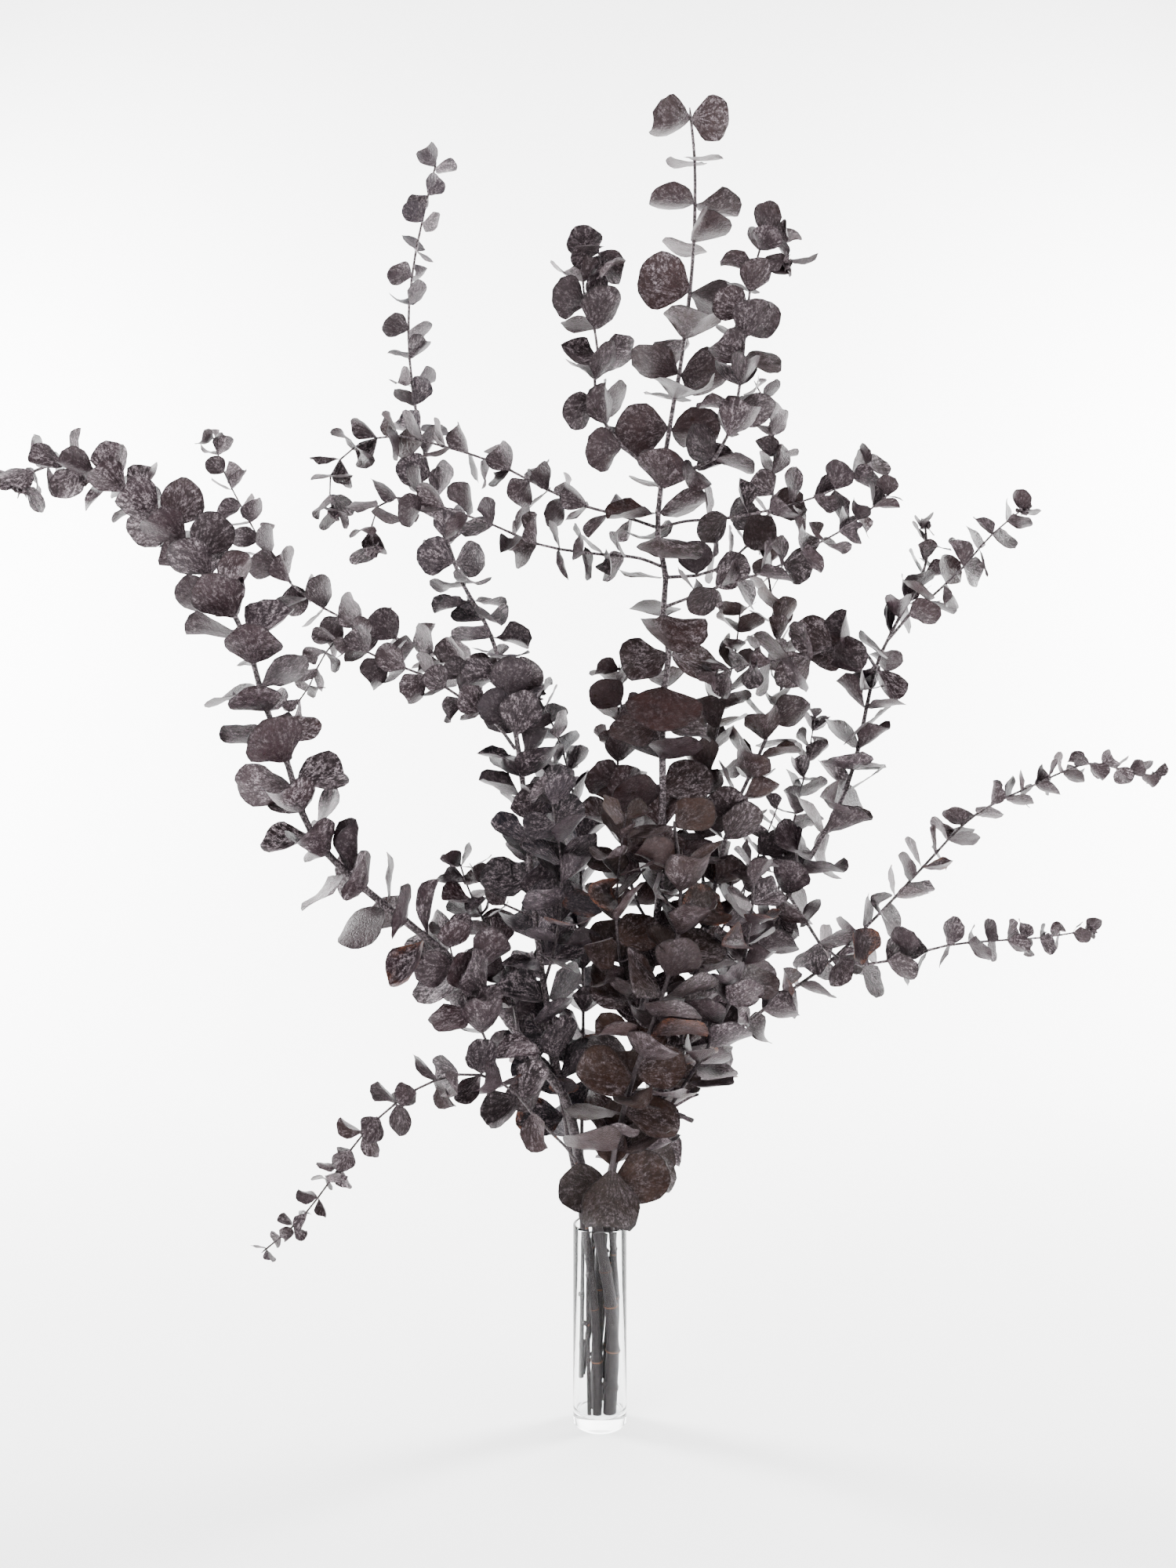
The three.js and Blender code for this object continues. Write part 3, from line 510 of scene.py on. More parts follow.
def blade_mesh(name, form):
    """One leaf blade, one unit long and wide: a closed thin shell with its base at the origin."""
    shell = bmesh.new()
    uv_layer = shell.loops.layers.uv.new("UVMap")
    edge_layer = shell.verts.layers.float.new("edge")
    under_layer = shell.verts.layers.float.new("under")
    uv = {}
    grid = {}
    for i in range(BLADE_GRID + 1):
        for j in range(BLADE_GRID + 1):
            a = 2 * i / BLADE_GRID - 1
            b = 2 * j / BLADE_GRID - 1
            across, along, reach, place = blade_point(form, a, b)
            normal = blade_normal(form, a, b)
            half = BLADE_THICKNESS / 2 * (1 - RIM_THINNING * reach ** 4)
            for side, sign in ((0, 1), (1, -1)):
                corner = shell.verts.new(place + normal * half * sign)
                corner[edge_layer] = reach
                corner[under_layer] = side
                uv[corner] = (0.5 + across, along)
                grid[side, i, j] = corner
    for i in range(BLADE_GRID):
        for j in range(BLADE_GRID):
            cell = [(i, j), (i + 1, j), (i + 1, j + 1), (i, j + 1)]
            shell.faces.new([grid[0, *c] for c in cell])
            shell.faces.new([grid[1, *c] for c in reversed(cell)])
    last = BLADE_GRID
    loop = [(i, 0) for i in range(last)] + [(last, j) for j in range(last)]
    loop += [(i, last) for i in range(last, 0, -1)] + [(0, j) for j in range(last, 0, -1)]
    for here, after in zip(loop, loop[1:] + loop[:1]):
        rim = shell.faces.new([grid[1, *here], grid[1, *after], grid[0, *after], grid[0, *here]])
        for edge in rim.edges:
            edge.smooth = False
    for face in shell.faces:
        face.smooth = True
        for corner in face.loops:
            corner[uv_layer].uv = uv[corner.vert]
    mesh = bpy.data.meshes.new(name)
    shell.to_mesh(mesh)
    shell.free()
    return mesh


def blade_collection():
    """The leaf shapes that the branches carry, in a collection that is picked from by number."""
    draw = random.Random(BLADE_SEED)
    shapes = bpy.data.collections.new("leaf_shapes")
    for number in range(BLADE_SHAPES + CURLED_SHAPES):
        name = f"leaf_shape_{number:02d}"
        mesh = blade_mesh(name, draw_form(draw, number))
        shapes.objects.link(bpy.data.objects.new(name, mesh))
    return shapes


def leaf_growth_tree(shapes, material):
    """Geometry Nodes that grow one blade on each anchor point, turned and sized as the point says."""
    tree = bpy.data.node_groups.new("grow_leaves", "GeometryNodeTree")
    tree.interface.new_socket("Anchors", in_out="INPUT", socket_type="NodeSocketGeometry")
    scale_input = tree.interface.new_socket("Leaf scale", in_out="INPUT", socket_type="NodeSocketFloat")
    tree.interface.new_socket("Leaves", in_out="OUTPUT", socket_type="NodeSocketGeometry")
    start = add(tree, "NodeGroupInput")
    picked = add(tree, "GeometryNodeCollectionInfo", {
        "Collection": shapes,
        "Separate Children": True,
        "Reset Children": True,
    })
    number = add(tree, "GeometryNodeInputNamedAttribute", {"Name": "shape"}, data_type="INT")
    turn = add(tree, "GeometryNodeInputNamedAttribute", {"Name": "turn"}, data_type="QUATERNION")
    size = add(tree, "GeometryNodeInputNamedAttribute", {"Name": "size"}, data_type="FLOAT_VECTOR")
    scaled = add(tree, "ShaderNodeVectorMath", {0: size, 3: start.outputs["Leaf scale"]}, operation="SCALE")
    grown = add(tree, "GeometryNodeInstanceOnPoints", {
        "Points": start.outputs["Anchors"],
        "Instance": picked,
        "Pick Instance": True,
        "Instance Index": number,
        "Rotation": turn,
        "Scale": scaled,
    })
    real = add(tree, "GeometryNodeRealizeInstances", {0: grown})
    coated = add(tree, "GeometryNodeSetMaterial", {"Geometry": real, "Material": material})
    add(tree, "NodeGroupOutput", {0: coated})
    return tree, scale_input.identifier


def stem_tree(material):
    """Geometry Nodes that sweep a round stem along a path, as thick as each point says."""
    tree = bpy.data.node_groups.new("sweep_stem", "GeometryNodeTree")
    tree.interface.new_socket("Path", in_out="INPUT", socket_type="NodeSocketGeometry")
    sides_input = tree.interface.new_socket("Sides", in_out="INPUT", socket_type="NodeSocketInt")
    tree.interface.new_socket("Stem", in_out="OUTPUT", socket_type="NodeSocketGeometry")
    start = add(tree, "NodeGroupInput")
    curve = add(tree, "GeometryNodeMeshToCurve", {0: start.outputs["Path"]})
    thick = add(tree, "GeometryNodeInputNamedAttribute", {"Name": "thickness"}, data_type="FLOAT")
    ring = add(tree, "GeometryNodeCurvePrimitiveCircle", {
        "Resolution": start.outputs["Sides"],
        "Radius": 1.0,
    })
    swept = add(tree, "GeometryNodeCurveToMesh", {
        "Curve": curve,
        "Profile Curve": ring,
        "Scale": thick,
        "Fill Caps": True,
    })
    smooth = add(tree, "GeometryNodeSetShadeSmooth", {"Geometry": swept})
    coated = add(tree, "GeometryNodeSetMaterial", {"Geometry": smooth, "Material": material})
    add(tree, "NodeGroupOutput", {0: coated})
    return tree, sides_input.identifier


def baked_piece(name, source, tree, values):
    """Runs a Geometry Nodes tree on a source mesh and keeps the result as a plain mesh."""
    carrier = link_object(name + "_source", source)
    modifier = carrier.modifiers.new("nodes", "NODES")
    modifier.node_group = tree
    for identifier, value in values.items():
        modifier[identifier] = value
    bpy.context.view_layer.update()
    evaluated = carrier.evaluated_get(bpy.context.evaluated_depsgraph_get())
    mesh = bpy.data.meshes.new_from_object(evaluated)
    mesh.name = name
    carrier.modifiers.remove(modifier)
    bpy.data.objects.remove(carrier)
    bpy.data.meshes.remove(source)
    return link_object(name, mesh)


def set_attribute(mesh, name, kind, values):
    keys = {"FLOAT": "value", "INT": "value", "QUATERNION": "value", "FLOAT_VECTOR": "vector"}
    attribute = mesh.attributes.new(name, kind, "POINT")
    attribute.data.foreach_set(keys[kind], np.array(values).reshape(-1))


def blade_turn(axis, normal):
    """The rotation that lays a blade's length along axis with its upper face along normal."""
    across = axis.cross(normal).normalized()
    up = across.cross(axis)
    return Matrix((across, axis, up)).transposed().to_quaternion()


def random_direction(draw):
    height = draw.uniform(-1, 1)
    angle = draw.uniform(0, 2 * math.pi)
    flat = math.sqrt(1 - height * height)
    return Vector((flat * math.cos(angle), flat * math.sin(angle), height))


def point_at_height(shoot, height):
    """The point of a shoot's axis at a height in metres, and the radius there."""
    for upper, lower, radius in zip(shoot.centres, shoot.centres[1:], shoot.radii):
        if lower.z <= height < upper.z:
            return lower.lerp(upper, (height - lower.z) / (upper.z - lower.z)), radius
    return shoot.centres[-1], shoot.radii[-1]


def bud_anchors(shoot, draw):
    """The small rusty scales of dried buds, on the side of the stem that faces the front."""
    anchors = []
    for height in BUD_HEIGHTS:
        middle, radius = point_at_height(shoot, height * MM)
        outward = Vector((draw.uniform(-0.5, 0.5), -1, 0)).normalized()
        for _ in range(BUD_SCALES):
            out = (outward + random_direction(draw) * 0.8).normalized()
            place = middle + outward * radius * 0.9 + random_direction(draw) * BUD_SCATTER * MM
            length = draw.uniform(*BUD_SCALE_SIZES) * MM
            turn = blade_turn(out, out.cross(random_direction(draw)).normalized())
            tone = draw.uniform(0.8, 1.6)
            shape = BLADE_SHAPES + draw.randrange(CURLED_SHAPES)
            size = (length * BUD_SCALE_WIDTH, length, length)
            anchors.append(Anchor(place, turn, size, shape, [c * tone for c in RUST[:3]], BUD_BLOOM))
    return anchors


def knot_anchors(shoot, draw):
    """The small leaves of the crumpled knot at a shoot's tip, where it has one."""
    colour, bloom, _ = SHOOT_LOOKS.get(shoot.name, USUAL_LOOK)
    towards = (shoot.tip - shoot.centres[min(3, len(shoot.centres) - 1)]).normalized()
    anchors = []
    for _ in range(CURLED_TIPS.get(shoot.name, 0)):
        out = (random_direction(draw) + towards * 0.5).normalized()
        place = shoot.tip - towards * draw.uniform(0, KNOT_DEPTH) * MM
        place += random_direction(draw) * KNOT_SCATTER * MM
        length = draw.uniform(*KNOT_LEAF_SIZES) * MM
        tone = draw.uniform(0.8, 1.5)
        turn = blade_turn(out, out.cross(random_direction(draw)).normalized())
        shape = BLADE_SHAPES + draw.randrange(CURLED_SHAPES)
        size = (length * KNOT_LEAF_WIDTH, length, length)
        shade = [c * tone for c in colour[:3]]
        anchors.append(Anchor(place, turn, size, shape, shade, min(1.0, bloom * KNOT_BLOOM)))
    return anchors


def leaf_anchors(shoot, draw):
    """Where each leaf of a shoot grows, and its turn, size, shape number, colour and bloom."""
    colour, bloom, _ = SHOOT_LOOKS.get(shoot.name, USUAL_LOOK)
    anchors = []
    for leaf in shoot.leaves:
        tone = draw.uniform(0.5, 1.4)
        warm = draw.gauss(0, 0.06)
        shade = [colour[0] * tone * (1 + warm), colour[1] * tone, colour[2] * tone * (1 - warm)]
        size = (leaf.width * draw.uniform(0.98, 1.12), leaf.length * BLADE_LENGTHENING, leaf.length)
        shape = draw.randrange(BLADE_SHAPES)
        turn = blade_turn(leaf.axis, leaf.normal)
        anchors.append(Anchor(leaf.base, turn, size, shape, shade, bloom * draw.uniform(0.2, 1.6)))
    anchors += knot_anchors(shoot, draw)
    if shoot.name == BUD_STEM:
        anchors += bud_anchors(shoot, draw)
    return anchors


def grow_leaves(shoot, tree, scale_socket, draw):
    """All blades of a shoot as one piece. Leaf materials read the attributes that it sets."""
    anchors = leaf_anchors(shoot, draw)
    mesh = bpy.data.meshes.new(shoot.name + "_anchors")
    mesh.from_pydata([anchor.place for anchor in anchors], [], [])
    set_attribute(mesh, "turn", "QUATERNION", [tuple(anchor.turn) for anchor in anchors])
    set_attribute(mesh, "size", "FLOAT_VECTOR", [anchor.size for anchor in anchors])
    set_attribute(mesh, "shape", "INT", [anchor.shape for anchor in anchors])
    set_attribute(mesh, "leaf_colour", "FLOAT_VECTOR", [anchor.colour for anchor in anchors])
    set_attribute(mesh, "leaf_bloom", "FLOAT", [anchor.bloom for anchor in anchors])
    set_attribute(mesh, "leaf_length", "FLOAT", [anchor.size[1] for anchor in anchors])
    set_attribute(mesh, "leaf_seed", "FLOAT", [draw.uniform(0, 40) for _ in anchors])
    rusty = [anchor.place.z < RUST_BELOW * MM and draw.random() < RUST_SHARE for anchor in anchors]
    set_attribute(mesh, "leaf_rust", "FLOAT", [float(answer) for answer in rusty])
    return baked_piece(shoot.name + "_leaves", mesh, tree, {scale_socket: 1.0})


def rounded_path(points, widths):
    """A smooth path through the ring middles, with a point every few millimetres."""
    ends = [2 * points[0] - points[1], *points, 2 * points[-1] - points[-2]]
    radii = [widths[0], *widths, widths[-1]]
    places = []
    sizes = []
    for i in range(1, len(ends) - 2):
        before, here, after, beyond = ends[i - 1:i + 3]
        limit = (after - here).length
        entering = (after - before) * 0.5
        leaving = (beyond - here) * 0.5
        entering = entering.normalized() * min(entering.length, limit)
        leaving = leaving.normalized() * min(leaving.length, limit)
        steps = max(1, round(limit / (STEM_STEP * MM)))
        for step in range(steps):
            t = step / steps
            place = (2 * t ** 3 - 3 * t ** 2 + 1) * here + (t ** 3 - 2 * t ** 2 + t) * entering
            place += (3 * t ** 2 - 2 * t ** 3) * after + (t ** 3 - t ** 2) * leaving
            places.append(place)
            sizes.append(radii[i] + (radii[i + 1] - radii[i]) * t)
    places.append(points[-1])
    sizes.append(widths[-1])
    return places, sizes


def stub_ends(middle, radius, draw):
    """A short cut-off side twig as its two ends, or nothing where the glass leaves no room for it."""
    room = VASE_RADIUS - VASE_WALL - STUB_RADIUS
    for _ in range(STUB_TRIES):
        angle = draw.uniform(0, 2 * math.pi)
        out = Vector((math.cos(angle), math.sin(angle), STUB_RISE)).normalized()
        end = middle + out * (radius + STUB_REACH * MM)
        if math.hypot(end.x, end.y) < room * MM:
            return middle, end
    return None


def find_stubs(places, sizes, reach, marks, draw):
    """The cut-off side twigs of a stem in the vase, each as its two ends."""
    stubs = []
    for mark, _ in marks:
        nearest = min(range(len(reach)), key=lambda i: abs(reach[i] - mark))
        if places[nearest].z > STUBS_BELOW * MM or draw.random() > STUB_SHARE:
            continue
        stub = stub_ends(places[nearest], sizes[nearest], draw)
        if stub:
            stubs.append(stub)
    return stubs


def node_marks(shoot, places, reach, cut_stem, draw):
    """How far from the tip the stem swells, where leaves grow or have grown, and how tan each ring is."""
    marks = []
    for ring in shoot.pairs:
        middle = (shoot.centres[ring] + shoot.centres[min(ring + 1, len(shoot.centres) - 1)]) / 2
        marks.append((reach[nearest_to(places, middle)], LEAF_PAIR_RING))
    if cut_stem:
        along = max(mark for mark, _ in marks) + SCAR_SPACING * MM
        while along < reach[-1] - SCAR_END_GAP * MM:
            marks.append((along, SCAR_RING))
            along += SCAR_SPACING * MM * draw.uniform(0.8, 1.25)
    return marks


def swollen(places, sizes, reach, marks):
    """The stem's thickness along its path, and how strongly each point is a scar."""
    thickness = []
    scars = []
    for place, size, distance in zip(places, sizes, reach):
        swelling = 0.0
        scar = 0.0
        for mark, strength in marks:
            close = math.exp(-((distance - mark) / (NODE_REACH * MM)) ** 2)
            swelling = max(swelling, close)
            scar = max(scar, strength * close)
        uneven = 1 + SLOW_UNEVENNESS * noise.noise(place * SLOW_WAVES)
        uneven += FINE_UNEVENNESS * noise.noise(place * FINE_WAVES)
        in_vase = place.z < VASE_HEIGHT * MM
        knob = NODE_SWELLING * (IN_VASE_SWELLING if in_vase else ABOVE_VASE_SWELLING)
        thickness.append(size * STEM_FULLNESS * uneven * (1 + knob * swelling))
        scars.append(scar)
    return thickness, scars


def sweep_stem(shoot, tree, sides_socket, draw):
    """The stem of a shoot. A side shoot reaches into the stem that it grows on, and a cut stem has stubs."""
    points = [shoot.tip, *shoot.centres]
    widths = [shoot.radii[0] * TIP_FULLNESS, *shoot.radii]
    cut_stem = shoot.name.endswith("_stem")
    if not cut_stem:
        back = (points[-1] - points[-2]).normalized()
        points.append(points[-1] + back * ROOTED * MM)
        widths.append(widths[-1])
    places, sizes = rounded_path(points, widths)
    reach = [0.0]
    for before, after in zip(places, places[1:]):
        reach.append(reach[-1] + (after - before).length)
    marks = node_marks(shoot, places, reach, cut_stem, draw)
    thickness, scars = swollen(places, sizes, reach, marks)
    stubs = find_stubs(places, sizes, reach, marks, draw) if cut_stem else []
    links = [(i, i + 1) for i in range(len(places) - 1)]
    for stub in stubs:
        links.append((len(places), len(places) + 1))
        places += stub
        thickness += [STUB_RADIUS * STUB_FLARE * MM, STUB_RADIUS * MM]
        scars += [0.0, 0.0]
    mesh = bpy.data.meshes.new(shoot.name + "_path")
    mesh.from_pydata(places, links, [])
    set_attribute(mesh, "thickness", "FLOAT", thickness)
    set_attribute(mesh, "scar", "FLOAT", scars)
    bark_bloom = SHOOT_LOOKS.get(shoot.name, USUAL_LOOK).bark_bloom
    set_attribute(mesh, "bark_bloom", "FLOAT", [bark_bloom] * len(places))
    return baked_piece(shoot.name + "_bark", mesh, tree, {sides_socket: STEM_SIDES})


def new_material(name):
    material = bpy.data.materials.new(name)
    material.use_nodes = True
    tree = material.node_tree
    tree.nodes.clear()
    return material, tree


def polar_from_base(tree, uv, length):
    """A leaf point's angle about the leaf's base, and its distance from the base in metres."""
    split = add(tree, "ShaderNodeSeparateXYZ", {0: uv})
    across = add(tree, "ShaderNodeMath", {0: split.outputs[0], 1: 0.5}, operation="SUBTRACT")
    along = add(tree, "ShaderNodeMath", {0: split.outputs[1], 1: 0.05}, operation="ADD")
    angle = add(tree, "ShaderNodeMath", {0: across, 1: along}, operation="ARCTAN2")
    across_squared = add(tree, "ShaderNodeMath", {0: across, 1: across}, operation="MULTIPLY")
    along_squared = add(tree, "ShaderNodeMath", {0: along, 1: along}, operation="MULTIPLY")
    square = add(tree, "ShaderNodeMath", {0: across_squared, 1: along_squared}, operation="ADD")
    root = add(tree, "ShaderNodeMath", {0: square}, operation="SQRT")
    distance = add(tree, "ShaderNodeMath", {0: root, 1: length}, operation="MULTIPLY")
    return angle, distance


def leaf_veins(tree, flat, seed, angle, distance):
    """How far a leaf point lies in a vein: a fine net, and main veins that fan out from the base."""
    # Net veins about 3 mm apart, coarser than on a real leaf so that they show
    net = add(tree, "ShaderNodeTexVoronoi", {
        "Vector": flat,
        "W": seed,
        "Scale": per_metre(NET_VEIN_SPACING),
    }, voronoi_dimensions="4D", feature="DISTANCE_TO_EDGE")
    net_line = add(tree, "ShaderNodeMapRange", {
        "Value": net.outputs["Distance"],
        "From Max": 0.12,
        "To Min": 1.0,
        "To Max": 0.0,
    })
    faint_net = add(tree, "ShaderNodeMath", {0: net_line, 1: 0.5}, operation="MULTIPLY")

    # Main veins that wander a little and fade towards the rim
    wander = add(tree, "ShaderNodeTexNoise", {
        "Vector": flat,
        "W": seed,
        "Scale": per_metre(VEIN_WANDER),
        "Detail": 2.0,
    }, noise_dimensions="4D")
    swerve = add(tree, "ShaderNodeMath", {0: wander, 1: 0.5}, operation="MULTIPLY")
    wandering = add(tree, "ShaderNodeMath", {0: angle, 1: swerve}, operation="ADD")
    turned = add(tree, "ShaderNodeMath", {0: wandering, 1: VEINS_IN_HALF_TURN}, operation="MULTIPLY")
    wave = add(tree, "ShaderNodeMath", {0: turned}, operation="SINE")
    fan = add(tree, "ShaderNodeMath", {0: wave}, operation="ABSOLUTE")
    fan_line = add(tree, "ShaderNodeMapRange", {"Value": fan, "From Max": 0.2, "To Min": 1.0, "To Max": 0.0})
    fading = add(tree, "ShaderNodeMapRange", {
        "Value": distance,
        "From Min": 4 * MM,
        "From Max": 28 * MM,
        "To Min": 1.0,
        "To Max": 0.15,
    })
    main_veins = add(tree, "ShaderNodeMath", {0: fan_line, 1: fading}, operation="MULTIPLY")
    return add(tree, "ShaderNodeMath", {0: faint_net, 1: main_veins}, operation="MAXIMUM")


def leaf_dust(tree, streak, speckles, cloud, veins, distance):
    """How much pale wax bloom lies on a leaf point: broken streaks, and more of it near the base."""
    streaks = add(tree, "ShaderNodeMapRange", {
        "Value": streak,
        "From Min": 0.44,
        "From Max": 0.6,
        "To Max": 1.1,
    })
    clouds = add(tree, "ShaderNodeMapRange", {
        "Value": cloud,
        "From Min": 0.32,
        "From Max": 0.68,
        "To Min": 0.3,
        "To Max": 1.2,
    })
    near_base = add(tree, "ShaderNodeMapRange", {
        "Value": distance,
        "From Min": 1.5 * MM,
        "From Max": 10 * MM,
        "To Min": 0.85,
        "To Max": 0.0,
    })
    off_veins = add(tree, "ShaderNodeMapRange", {"Value": veins, "To Min": 1.0, "To Max": 0.3})
    bloom = add(tree, "ShaderNodeAttribute", attribute_name="leaf_bloom").outputs["Fac"]
    broken = add(tree, "ShaderNodeMath", {0: streaks, 1: speckles}, operation="MULTIPLY")
    patchy = add(tree, "ShaderNodeMath", {0: broken, 1: clouds}, operation="MULTIPLY")
    at_base = add(tree, "ShaderNodeMath", {0: near_base, 1: speckles}, operation="MULTIPLY")
    most = add(tree, "ShaderNodeMath", {0: patchy, 1: at_base}, operation="MAXIMUM")
    bloomed = add(tree, "ShaderNodeMath", {0: most, 1: bloom}, operation="MULTIPLY")
    return add(tree, "ShaderNodeMath", {0: bloomed, 1: off_veins}, operation="MULTIPLY")


def leaf_surface_colour(tree, speckles, cloud, veins, dust):
    """The leaf's own colour under layers of shade, dull underside, veins, bloom, dark rim and rust."""
    edge = add(tree, "ShaderNodeAttribute", attribute_name="edge").outputs["Fac"]
    under = add(tree, "ShaderNodeAttribute", attribute_name="under").outputs["Fac"]
    rusty = add(tree, "ShaderNodeAttribute", attribute_name="leaf_rust").outputs["Fac"]
    shaded = add(tree, "ShaderNodeMapRange", {
        "Value": cloud,
        "From Min": 0.4,
        "From Max": 0.7,
        "To Max": 0.55,
    })
    below = add(tree, "ShaderNodeMath", {0: under, 1: 0.35}, operation="MULTIPLY")
    veined = add(tree, "ShaderNodeMath", {0: veins, 1: 0.6}, operation="MULTIPLY")
    dusted = add(tree, "ShaderNodeMath", {0: dust, 1: 0.9}, operation="MULTIPLY")
    rimmed = add(tree, "ShaderNodeMapRange", {"Value": edge, "From Min": 0.93, "To Max": 0.6})
    near_rim = add(tree, "ShaderNodeMapRange", {"Value": edge, "From Min": 0.6, "To Max": 0.8})
    patches = add(tree, "ShaderNodeMapRange", {"Value": cloud, "From Min": 0.42, "From Max": 0.6})
    speckled = add(tree, "ShaderNodeMath", {0: patches, 1: speckles}, operation="MULTIPLY")
    rim_patches = add(tree, "ShaderNodeMath", {0: near_rim, 1: speckled}, operation="MULTIPLY")
    stained = add(tree, "ShaderNodeMath", {0: rim_patches, 1: rusty}, operation="MULTIPLY")
    surface = add(tree, "ShaderNodeAttribute", attribute_name="leaf_colour").outputs["Vector"]
    layers = (
        (shaded, SHADE),
        (below, UNDERSIDE),
        (veined, SHADE),
        (dusted, BLOOM),
        (rimmed, SHADE),
        (stained, RUST),
    )
    for share, colour in layers:
        surface = add(tree, "ShaderNodeMix", {0: share, 6: surface, 7: colour}, data_type="RGBA").outputs[2]
    return surface


def preserved_leaf():
    """Glycerine-preserved eucalyptus leaf: dark and leathery, with a wax bloom that has rubbed off
    into pale streaks running out from the base, sunken veins, and a dull pale underside."""
    material, tree = new_material("preserved_eucalyptus_leaf")
    seed = add(tree, "ShaderNodeAttribute", attribute_name="leaf_seed").outputs["Fac"]
    length = add(tree, "ShaderNodeAttribute", attribute_name="leaf_length").outputs["Fac"]
    coordinates = add(tree, "ShaderNodeTexCoord")
    uv = coordinates.outputs["UV"]
    place = coordinates.outputs["Object"]
    flat = add(tree, "ShaderNodeVectorMath", {0: uv, 3: length}, operation="SCALE")
    angle, distance = polar_from_base(tree, uv, length)
    veins = leaf_veins(tree, flat, seed, angle, distance)

    # Streaks of bloom about 2 mm across that run out from the base
    around = add(tree, "ShaderNodeMath", {0: angle, 1: STREAKS_IN_RADIAN}, operation="MULTIPLY")
    outwards = add(tree, "ShaderNodeMath", {0: distance, 1: per_metre(STREAK_STEP)}, operation="MULTIPLY")
    spoke = add(tree, "ShaderNodeCombineXYZ", {0: around, 1: outwards, 2: seed})
    streak = add(tree, "ShaderNodeTexNoise", {
        "Vector": spoke,
        "Scale": 1.6,
        "Detail": 5.0,
        "Roughness": 0.72,
    })

    # Speckles of 1.5 mm, coarser than real ones so that they show, and clouds over whole leaves
    speckle = add(tree, "ShaderNodeTexNoise", {
        "Vector": place,
        "Scale": per_metre(SPECKLE_SIZE),
        "Detail": 4.0,
        "Roughness": 0.75,
    })
    speckles = add(tree, "ShaderNodeMapRange", {
        "Value": speckle,
        "From Min": 0.44,
        "From Max": 0.57,
        "To Min": 0.1,
        "To Max": 1.4,
    })
    cloud = add(tree, "ShaderNodeTexNoise", {"Vector": place, "Scale": per_metre(LEAF_CLOUD), "Detail": 2.0})
    dust = leaf_dust(tree, streak, speckles, cloud, veins, distance)

    # Bloom stands up a little from the leaf, and veins are sunk into it
    grain = add(tree, "ShaderNodeMath", {0: speckle, 1: 0.5}, operation="MULTIPLY")
    raised = add(tree, "ShaderNodeMath", {0: streak, 1: 0.9}, operation="MULTIPLY")
    sunken = add(tree, "ShaderNodeMath", {0: veins, 1: 0.8}, operation="MULTIPLY")
    powdery = add(tree, "ShaderNodeMath", {0: raised, 1: grain}, operation="ADD")
    relief = add(tree, "ShaderNodeMath", {0: powdery, 1: sunken}, operation="SUBTRACT")
    bump = add(tree, "ShaderNodeBump", {"Strength": 0.55, "Distance": 0.7 * MM, "Height": relief})

    # Bare leaf is satin and dusty leaf is matte, with a low gloss that keeps it dark in a bright room
    roughness = add(tree, "ShaderNodeMapRange", {
        "Value": dust,
        "From Max": 0.5,
        "To Min": 0.4,
        "To Max": 0.75,
    })
    skin = add(tree, "ShaderNodeBsdfPrincipled", {
        "Base Color": leaf_surface_colour(tree, speckles, cloud, veins, dust),
        "Roughness": roughness,
        "Specular IOR Level": 0.13,
        "Normal": bump,
    })
    add(tree, "ShaderNodeOutputMaterial", {0: skin})
    return material


def bark_dust(tree, height, flakes, cloud):
    """How much pale flaking bloom lies on the bark: hardly any in the vase, and more above it."""
    starts, full = BARK_BLOOM_HEIGHTS
    above_vase = add(tree, "ShaderNodeMapRange", {
        "Value": height,
        "From Min": starts * MM,
        "From Max": full * MM,
        "To Min": 0.07,
    })
    flaked = add(tree, "ShaderNodeMapRange", {"Value": flakes, "From Min": 0.46, "From Max": 0.62})
    clouds = add(tree, "ShaderNodeMapRange", {
        "Value": cloud,
        "From Min": 0.3,
        "From Max": 0.65,
        "To Min": 0.4,
    })
    bloom = add(tree, "ShaderNodeAttribute", attribute_name="bark_bloom").outputs["Fac"]
    patchy = add(tree, "ShaderNodeMath", {0: flaked, 1: clouds}, operation="MULTIPLY")
    raised = add(tree, "ShaderNodeMath", {0: patchy, 1: above_vase}, operation="MULTIPLY")
    return add(tree, "ShaderNodeMath", {0: raised, 1: bloom}, operation="MULTIPLY")


